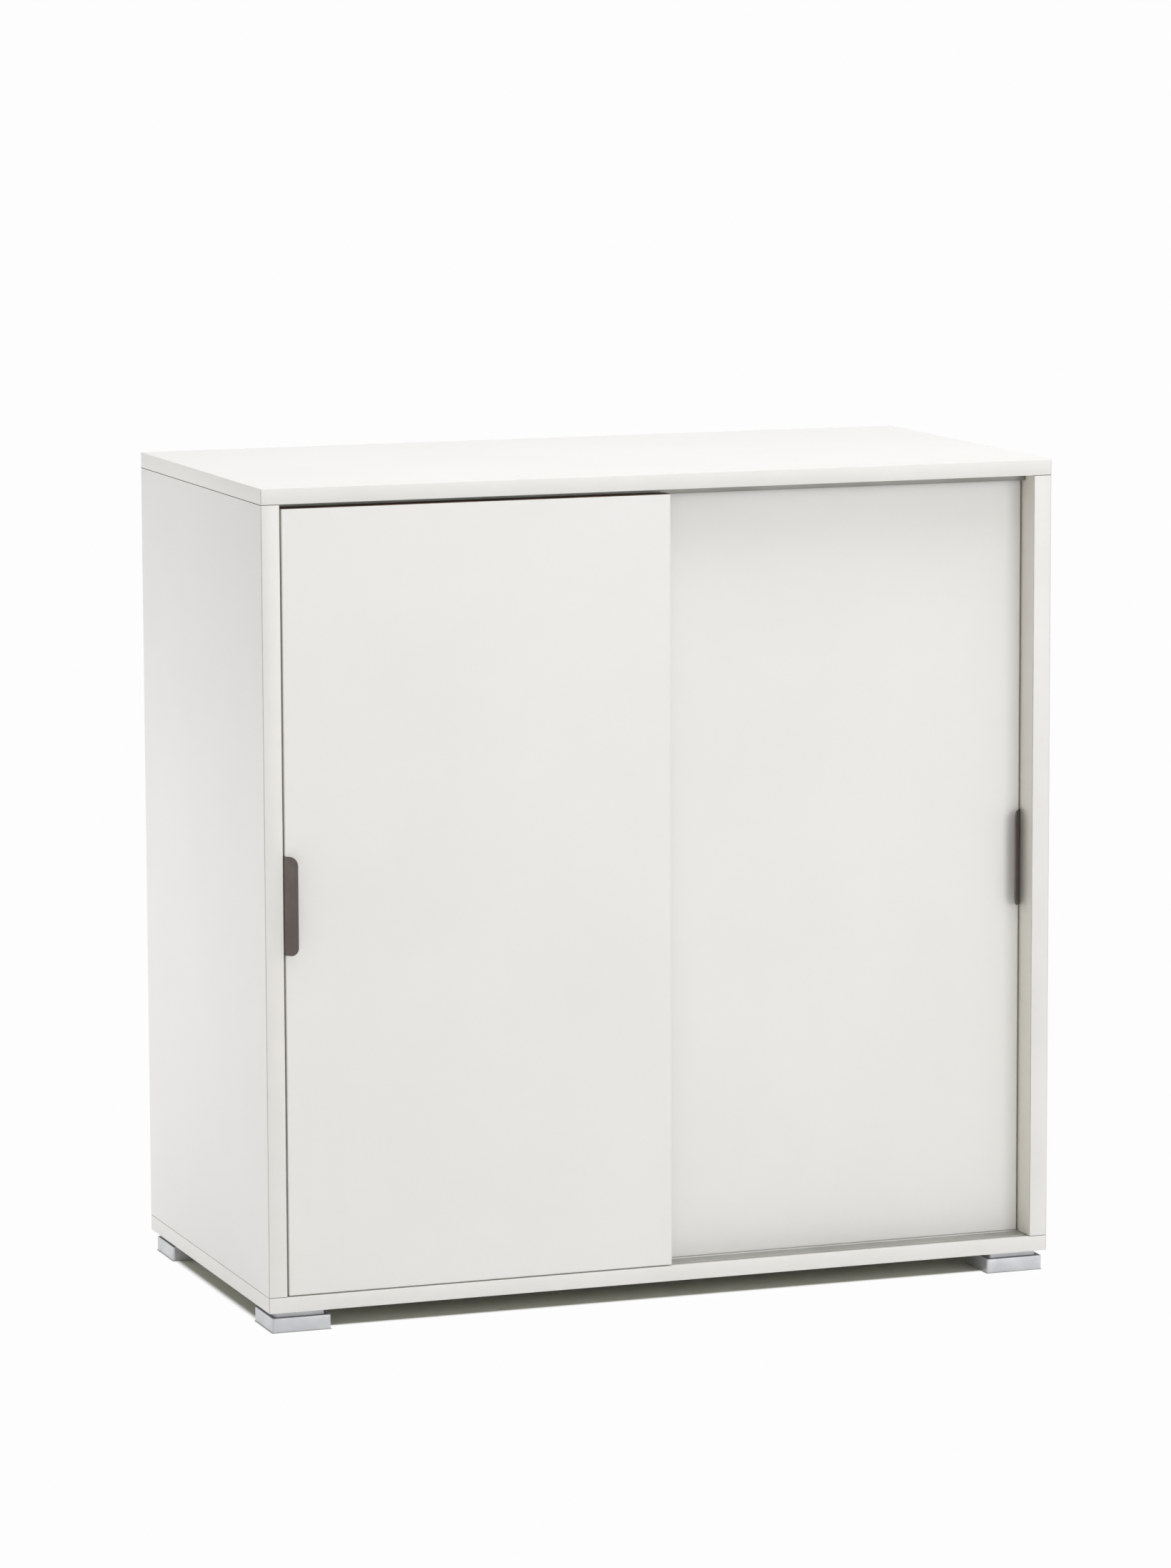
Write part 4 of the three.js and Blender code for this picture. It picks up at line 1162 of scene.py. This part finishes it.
# %% Feet
foot_block = 58 * MM
foot_block_height = 14 * MM
foot_neck = 48 * MM
foot_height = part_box("bottom_panel")[0].z
foot_corner = 2 * MM
foot_arris = 0.7 * MM
foot_wall = 2.5 * MM
foot_rib = 2 * MM
foot_roof = 3 * MM
foot_post = 6 * MM
foot_post_sides = 40
foot_corner_steps = 8


def rounded_slab(name, size, low_z, high_z, corner, arris):
    """A square slab with round upright corners and softened arrises."""
    source = bmesh.new()
    half = size / 2
    edges = add_block(source, (-half, -half, low_z), (half, half, high_z))
    upright = [e for e in edges if abs(e.verts[0].co.z - e.verts[1].co.z) > (high_z - low_z) / 2]
    bmesh.ops.bevel(source, geom=upright, offset=corner, segments=foot_corner_steps, profile=0.5,
                    affect="EDGES")
    slab = object_from(name, source, [silver_plastic])
    return rounded(slab, arris, angle=40) if arris else slab


def make_foot():
    """A whole foot at the origin."""
    foot = rounded_slab("foot", foot_block, 0, foot_block_height, foot_corner, foot_arris)
    neck = rounded_slab("neck", foot_neck, foot_block_height - foot_wall, foot_height, foot_corner, 0)
    cut_with(foot, neck, "UNION")
    for pocket in foot_pockets():
        cut_with(foot, pocket)
    source = bmesh.new()
    post_height = foot_height - foot_roof
    bmesh.ops.create_cone(source, cap_ends=True, segments=foot_post_sides, radius1=foot_post,
                          radius2=foot_post, depth=post_height,
                          matrix=Matrix.Translation((0, 0, post_height / 2)))
    return cut_with(foot, object_from("post", source, [silver_plastic]), "UNION")


def foot_pockets():
    """The hollows of the block and those of the neck, as two cutters. A cutter mustn't overlap
    itself, so they aren't one."""
    made = []
    for size, top in ((foot_block, foot_block_height - foot_wall), (foot_neck, foot_height - foot_roof)):
        source = bmesh.new()
        rib, inner = foot_rib / 2, size / 2 - foot_wall
        for x in (-1, 1):
            for y in (-1, 1):
                xs, ys = sorted((x * rib, x * inner)), sorted((y * rib, y * inner))
                add_block(source, (xs[0], ys[0], -cut_overrun), (xs[1], ys[1], top))
        made.append(object_from("foot_pocket", source, [silver_plastic]))
    return made


foot_shape = make_foot()
# The ledge faces get the dark grey of painted shade.
foot_shape.data.materials.append(ledge_painted_shade)
for face in foot_shape.data.polygons:
    if face.normal.z > flat_share and abs(face.center.z - foot_block_height) < foot_arris / 2:
        face.material_index = len(foot_shape.data.materials) - 1
for corner in ("front_left", "front_right", "rear_left", "rear_right"):
    mesh = foot_shape.data.copy()
    mesh.transform(Matrix.Translation(on_floor(middle_of(f"{corner}_foot"))))
    foot = linked(f"{corner}_foot_moulding", mesh)
    dress(smooth_by_angle(foot, angle=35), "carcass", "foot_plastic", f"{corner}_foot")
bpy.data.objects.remove(foot_shape)
print("foot faces:", len(mesh.polygons))

# %% [markdown]
# The handles are cut from sheet metal, with two round corners, and bent once: a leg lies on the
# door's edge, and the plate leans out over the door's face, so that fingers fit behind it. The
# piece is made as in the workshop. A flat blank is outlined and scored where the bend will be,
# each point is then carried round the bend, and the sheet gets its thickness last.

# %% The flat blank of a handle
handle_sheet = 1.2 * MM
handle_length = 94 * MM
handle_leg = 12 * MM
bend_radius = 0.8 * MM
handle_lean = math.radians(39.2)
handle_plate = 14.6 * MM
handle_corner = 8.5 * MM
leg_corner = 1.5 * MM
handle_arris = 0.22 * MM
corner_steps = 14
bend_steps = 8

middle_radius = bend_radius + handle_sheet / 2
bend_length = middle_radius * handle_lean


def blank_outline():
    """The blank's outline: along the bend path from the leg's end, and across over the length."""
    near, far, half = -handle_leg, bend_length + handle_plate, handle_length / 2
    corners = [(near, -half, leg_corner, 180), (far, -half, handle_corner, 270),
               (far, half, handle_corner, 0), (near, half, leg_corner, 90)]
    points = []
    for along, across, radius, start in corners:
        centre_along = along + radius * (1 if along == near else -1)
        centre_across = across + radius * (1 if across < 0 else -1)
        for step in range(corner_steps + 1):
            angle = math.radians(start + 90 * step / corner_steps)
            points.append((centre_along + radius * math.cos(angle),
                           centre_across + radius * math.sin(angle)))
    return points


def bent(along, across):
    """Where a point of the blank is once the sheet is bent, for a handle on a left edge."""
    if along <= 0:
        return Vector((-handle_sheet / 2, -along, across))
    angle = min(along, bend_length) / middle_radius
    rest = max(0.0, along - bend_length)
    x = bend_radius - middle_radius * math.cos(angle) + rest * math.sin(handle_lean)
    y = -middle_radius * math.sin(angle) - rest * math.cos(handle_lean)
    return Vector((x, y, across))


def handle_at_origin():
    """A handle for a left edge: the edge is at x = 0 and the door's face at y = 0."""
    source = bmesh.new()
    source.faces.new([source.verts.new((a, b, 0)) for a, b in blank_outline()])
    for step in range(bend_steps + 1):
        score(source, (bend_length * step / bend_steps, 0, 0), (1, 0, 0))
    for corner in source.verts:
        corner.co = bent(corner.co.x, corner.co.y)
    sheet = object_from("handle_sheet", source, [handle_coating_painted_reflection])
    thick = sheet.modifiers.new("sheet", "SOLIDIFY")
    thick.thickness = handle_sheet
    thick.offset = 0
    thick.use_even_offset = True
    applied(sheet)
    faced_out(sheet)
    return rounded(sheet, handle_arris, angle=45)


print("blank is", round((handle_leg + bend_length + handle_plate) / MM, 2), "mm wide before bending")

# %% Turned pieces and screws
screw_head_radius = 2.6 * MM
screw_shank_radius = 1.4 * MM
screw_head_height = 1.2 * MM
screw_length = 18 * MM
screw_tip = 2.5 * MM
screw_rim = 0.1 * MM
screw_sides = 28
recess_reach = 1.5 * MM
recess_width = 0.55 * MM
recess_depth = 0.9 * MM


def turned(name, outline, sides, material):
    """A turned piece about Z. The outline lists radius and height from one end to the other."""
    source = bmesh.new()
    rings = []
    for radius, height in outline:
        if radius == 0:
            rings.append([source.verts.new((0, 0, height))])
            continue
        rings.append([
            source.verts.new((radius * math.cos(2 * math.pi * i / sides),
                              radius * math.sin(2 * math.pi * i / sides), height))
            for i in range(sides)
        ])
    for one, other in zip(rings, rings[1:]):
        for i in range(sides):
            j = (i + 1) % sides
            loop = [one[i % len(one)], one[j % len(one)], other[j % len(other)], other[i % len(other)]]
            source.faces.new(list(dict.fromkeys(loop)))
    bmesh.ops.recalc_face_normals(source, faces=source.faces)
    return object_from(name, source, [material])


def cross_recess(reach, width, depth, material):
    """A cutter for a cross recess in a face at the origin that looks along -Z."""
    half = width / 2
    source = bmesh.new()
    add_block(source, (-reach, -half, -depth), (reach, half, depth))
    one = object_from("recess", source, [material])
    source = bmesh.new()
    add_block(source, (-half, -reach, -depth), (half, reach, depth))
    return cut_with(one, object_from("recess_arm", source, [material]), "UNION")


def screw_at_origin(shank_radius, head_radius, head_height, length):
    """A countersunk screw that goes up along Z, with its head's face at the origin."""
    outline = [(0, 0), (head_radius - screw_rim, 0), (head_radius, screw_rim),
               (shank_radius, head_height), (shank_radius, length - screw_tip), (0, length)]
    screw = turned("screw", outline, screw_sides, zinc_plate)
    recess = cross_recess(recess_reach, recess_width, recess_depth, zinc_plate)
    return smooth_by_angle(cut_with(screw, recess), angle=40)


print("handle screws:", round(screw_length / MM), "mm long")

# %% [markdown]
# Both doors have the same handle. On the right edge it is turned half round its own middle, so
# that the plate leans the other way. The two screws go through the leg into the door's edge.

# %% Handles on the doors
hole_clearance = 0.25 * MM


def handle_placement(door, handle_side):
    """The matrix that takes the handle at the origin to its door."""
    low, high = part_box(door)
    edge = low.x if handle_side < 0 else high.x
    middle = middle_of(f"{door}_handle").z
    turn_round = Matrix.Identity(4) if handle_side < 0 else Matrix.Rotation(math.pi, 4, "Y")
    return Matrix.Translation((edge, low.y, middle)) @ turn_round


def screw_middles(door):
    """Where the heads of a door's two handle screws are."""
    outer = 0 if doors[door] < 0 else 1
    nodes = [f"{door}_handle_screw_{number}" for number in (1, 2)]
    return [brought_to(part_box(node)[outer].x, node) for node in nodes]


for door, handle_side in doors.items():
    heading = towards_right if handle_side < 0 else towards_left
    grip = handle_at_origin()
    grip.data.transform(handle_placement(door, handle_side))
    grip.name = f"{door}_bent_handle"
    sink = turned("countersink", [
        (0, -cut_overrun), (screw_head_radius + hole_clearance, -cut_overrun),
        (screw_head_radius + hole_clearance, 0),
        (screw_shank_radius + hole_clearance, screw_head_height),
        (screw_shank_radius + hole_clearance, 2 * screw_head_height), (0, 2 * screw_head_height),
    ], screw_sides, handle_coating_painted_reflection)
    places = [(middle, heading) for middle in screw_middles(door)]
    cut_with(grip, copies_at("countersinks", places, sink, handle_coating_painted_reflection))
    dress(smooth_by_angle(grip, angle=30), door, "dark_metal", f"{door}_handle")
    screw = screw_at_origin(screw_shank_radius, screw_head_radius, screw_head_height, screw_length)
    screws = copies_at(f"{door}_handle_screws", places, screw, zinc_plate)
    dress(screws, door, "steel", f"{door}_handle_screw_1", f"{door}_handle_screw_2")

# %% [markdown]
# Wheels. A wheel is a ring whose section follows a rule: hub, dished web, rim and crown. The
# tree takes that section as a closed outline and carries it round a circle, which makes a
# turned ring with a clean bore.

# %% The tree that turns a ring
ring_tree, ring_in, ring_out = new_group(
    "turned_ring",
    [("Geometry", SOLID), ("Bore Radius", FLOAT), ("Sides", WHOLE), ("Corner Radius", FLOAT),
     ("Centre", VECTOR), ("Turn", VECTOR), ("Finish", COATING)],
    [("Geometry", SOLID)], "GeometryNodeTree")
circle = wire(ring_tree, "GeometryNodeCurvePrimitiveCircle", None, Resolution=ring_in["Sides"],
              Radius=ring_in["Bore Radius"])
carried_end(ring_tree, ring_in, ring_out, circle, steps=3, place=ring_in["Centre"], capped=False)

# %% Wheels and axles
wheel_bore = 1.8 * MM
hub_radius = 4 * MM
rim_width = 2.2 * MM
web_dish = 0.7 * MM
crown = 0.6 * MM
wheel_arris = 0.15 * MM
wheel_sides = 72
axle_radius = 1.5 * MM
axle_chamfer = 0.3 * MM
axle_sides = 32
axis_along_y = (math.radians(-90), 0, 0)


def wheel_section(radius, half):
    """Half of a wheel's section: outwards from the bore, which is at zero, and along the axis."""
    rim = radius - rim_width
    dish = half - web_dish
    upper = [(wheel_bore, half), (hub_radius, half), (hub_radius, dish), (rim, dish), (rim, half),
             (radius - crown, half), (radius, half - crown)]
    lower = [(r, -along) for r, along in upper[::-1]]
    return [(r - wheel_bore, along) for r, along in upper + lower]


for door in doors:
    for end in ends:
        node = f"{door}_{end}_wheel"
        low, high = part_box(node)
        section = wheel_section((high.z - low.z) / 2, (high.y - low.y) / 2)
        wheel = outline_object(f"{node}_turned", section)
        use_tree(wheel, ring_tree, {
            "Bore Radius": wheel_bore, "Sides": wheel_sides, "Corner Radius": wheel_arris,
            "Centre": middle_of(node), "Turn": axis_along_y, "Finish": white_plastic,
        })
        dress(smooth_by_angle(faced_out(wheel), angle=40), node, "white_plastic", node)
        axle_low, axle_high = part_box(f"{door}_{end}_axle")
        length = axle_high.y - axle_low.y
        axle = turned(f"{door}_{end}_axle_pin", [
            (0, 0), (axle_radius - axle_chamfer, 0), (axle_radius, axle_chamfer),
            (axle_radius, length - axle_chamfer), (axle_radius - axle_chamfer, length), (0, length),
        ], axle_sides, zinc_plate)
        middle = middle_of(f"{door}_{end}_axle")
        axle.data.transform(Matrix.Translation((middle.x, axle_low.y, middle.z))
                            @ Matrix.Rotation(math.radians(-90), 4, "X"))
        dress(smooth_by_angle(axle, angle=40), door, "steel", f"{door}_{end}_axle")
print("wheels of", len(section), "section points")

# %% [markdown]
# Moulded pieces whose shape in the model is already right keep that shape: the roller housings
# and the top guides. A copy of each is merged, its flat faces are joined, and its arrises are
# rounded a little, as a mould leaves them.

# %% Housings and guides
housing_arris = 0.2 * MM
guide_arris = 0.35 * MM
joined_angle = math.radians(1)


def softened(node, name, radius, material):
    """A copy of a node of the model with merged points, whole faces and rounded arrises."""
    source = bmesh.new()
    source.from_mesh(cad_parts[node].data)
    bmesh.ops.remove_doubles(source, verts=source.verts, dist=merge_distance)
    bmesh.ops.dissolve_limit(source, angle_limit=joined_angle, verts=source.verts[:],
                             edges=source.edges[:])
    for face in source.faces:
        face.material_index = 0
    copy = object_from(name, source, [material])
    return smooth_by_angle(rounded(copy, radius, segments=2), angle=35)


for door in doors:
    for end in ends:
        housing = softened(f"{door}_{end}_roller_housing", f"{door}_{end}_housing_moulding",
                           housing_arris, black_plastic)
        dress(housing, door, "black_plastic", f"{door}_{end}_roller_housing")
        guide = softened(f"{door}_{end}_guide", f"{door}_{end}_guide_moulding",
                         guide_arris, black_plastic)
        dress(guide, door, "black_plastic", f"{door}_{end}_guide")

# %% [markdown]
# Small hardware inside: the shelf pins are bent from steel strip and riveted to a peg, the cams
# are die-cast with a cross recess, and the screws of the top track are countersunk. Each is
# made once and set in place by the tree for copies.

# %% Shelf pins
pin_tongue = 9 * MM
pin_width = 9 * MM
pin_sheet = 1.25 * MM
pin_leg = 10 * MM
pin_arris = 0.3 * MM
pin_chamfer = 0.5 * MM
pin_sides = 28


def pin_at_origin():
    """A shelf pin whose peg goes into a board at x = 0, towards -X."""
    outline = [(0, pin_radius - pin_leg), (pin_sheet, pin_radius - pin_leg),
               (pin_sheet, pin_radius - pin_sheet), (pin_tongue, pin_radius - pin_sheet),
               (pin_tongue, pin_radius), (0, pin_radius)]
    source = bmesh.new()
    add_prism(source, [(x, -pin_width / 2, z) for x, z in outline], (0, pin_width, 0))
    bracket = rounded(object_from("shelf_pin", source, [zinc_plate]), pin_arris, angle=40)
    peg = turned("peg", [
        (0, -pin_sheet / 2), (pin_radius, -pin_sheet / 2), (pin_radius, pin_peg_reach - pin_chamfer),
        (pin_radius - pin_chamfer, pin_peg_reach), (0, pin_peg_reach),
    ], pin_sides, zinc_plate)
    peg.data.transform(Matrix.Rotation(math.radians(-90), 4, "Y"))
    return smooth_by_angle(cut_with(bracket, peg, "UNION"), angle=40)


pin_spots = [(entry, (0, 0, 0 if into_left else math.pi)) for entry, into_left in pin_entries]
pins = copies_at("shelf_pins", pin_spots, pin_at_origin(), zinc_plate)
dress(pins, "carcass", "steel", *pin_nodes)
print("shelf pins:", len(pin_spots))

# %% Cam locks
cam_radius = 7.4 * MM
cam_depth = 12 * MM
cam_arris = 0.4 * MM
cam_sides = 56
cam_recess_reach = 4.6 * MM
cam_recess_width = 1.6 * MM
cam_recess_depth = 1.6 * MM


def cam_at_origin():
    """A cam whose slotted face is at the origin, with its body going up along Z."""
    cam = turned("cam", [(0, 0), (cam_radius - cam_arris, 0), (cam_radius, cam_arris),
                         (cam_radius, cam_depth), (0, cam_depth)], cam_sides, cast_zinc)
    recess = cross_recess(cam_recess_reach, cam_recess_width, cam_recess_depth, cast_zinc)
    return smooth_by_angle(cut_with(cam, recess), angle=40)


cam_spots = [(at, towards_left) for at in cam_places("left")]
cam_spots += [(at, towards_right) for at in cam_places("right")]
cams = copies_at("cam_locks", cam_spots, cam_at_origin(), cast_zinc)
dress(cams, "carcass", "zinc",
      *[f"{side}_cam_lock_{level}" for side in ("left", "right") for level in cam_levels])
print("cam locks:", len(cam_spots))

# %% Screws of the top track
track_screw_shank_radius = 1.6 * MM
track_screw_head_radius = 3.1 * MM
track_screw_head_height = 1.5 * MM
track_screw_length = 13 * MM
track_screw_nodes = [f"top_track_screw_{number}" for number in (1, 2, 3, 4)]
track_screw_spots = [
    (on_floor(middle_of(node)) + Vector((0, 0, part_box(node)[0].z)), (0, 0, 0))
    for node in track_screw_nodes
]
track_screw = screw_at_origin(track_screw_shank_radius, track_screw_head_radius,
                              track_screw_head_height, track_screw_length)
track_screws = copies_at("top_track_screws", track_screw_spots, track_screw, zinc_plate)
dress(track_screws, "carcass", "steel", *track_screw_nodes)
print("track screws:", len(track_screw_spots))
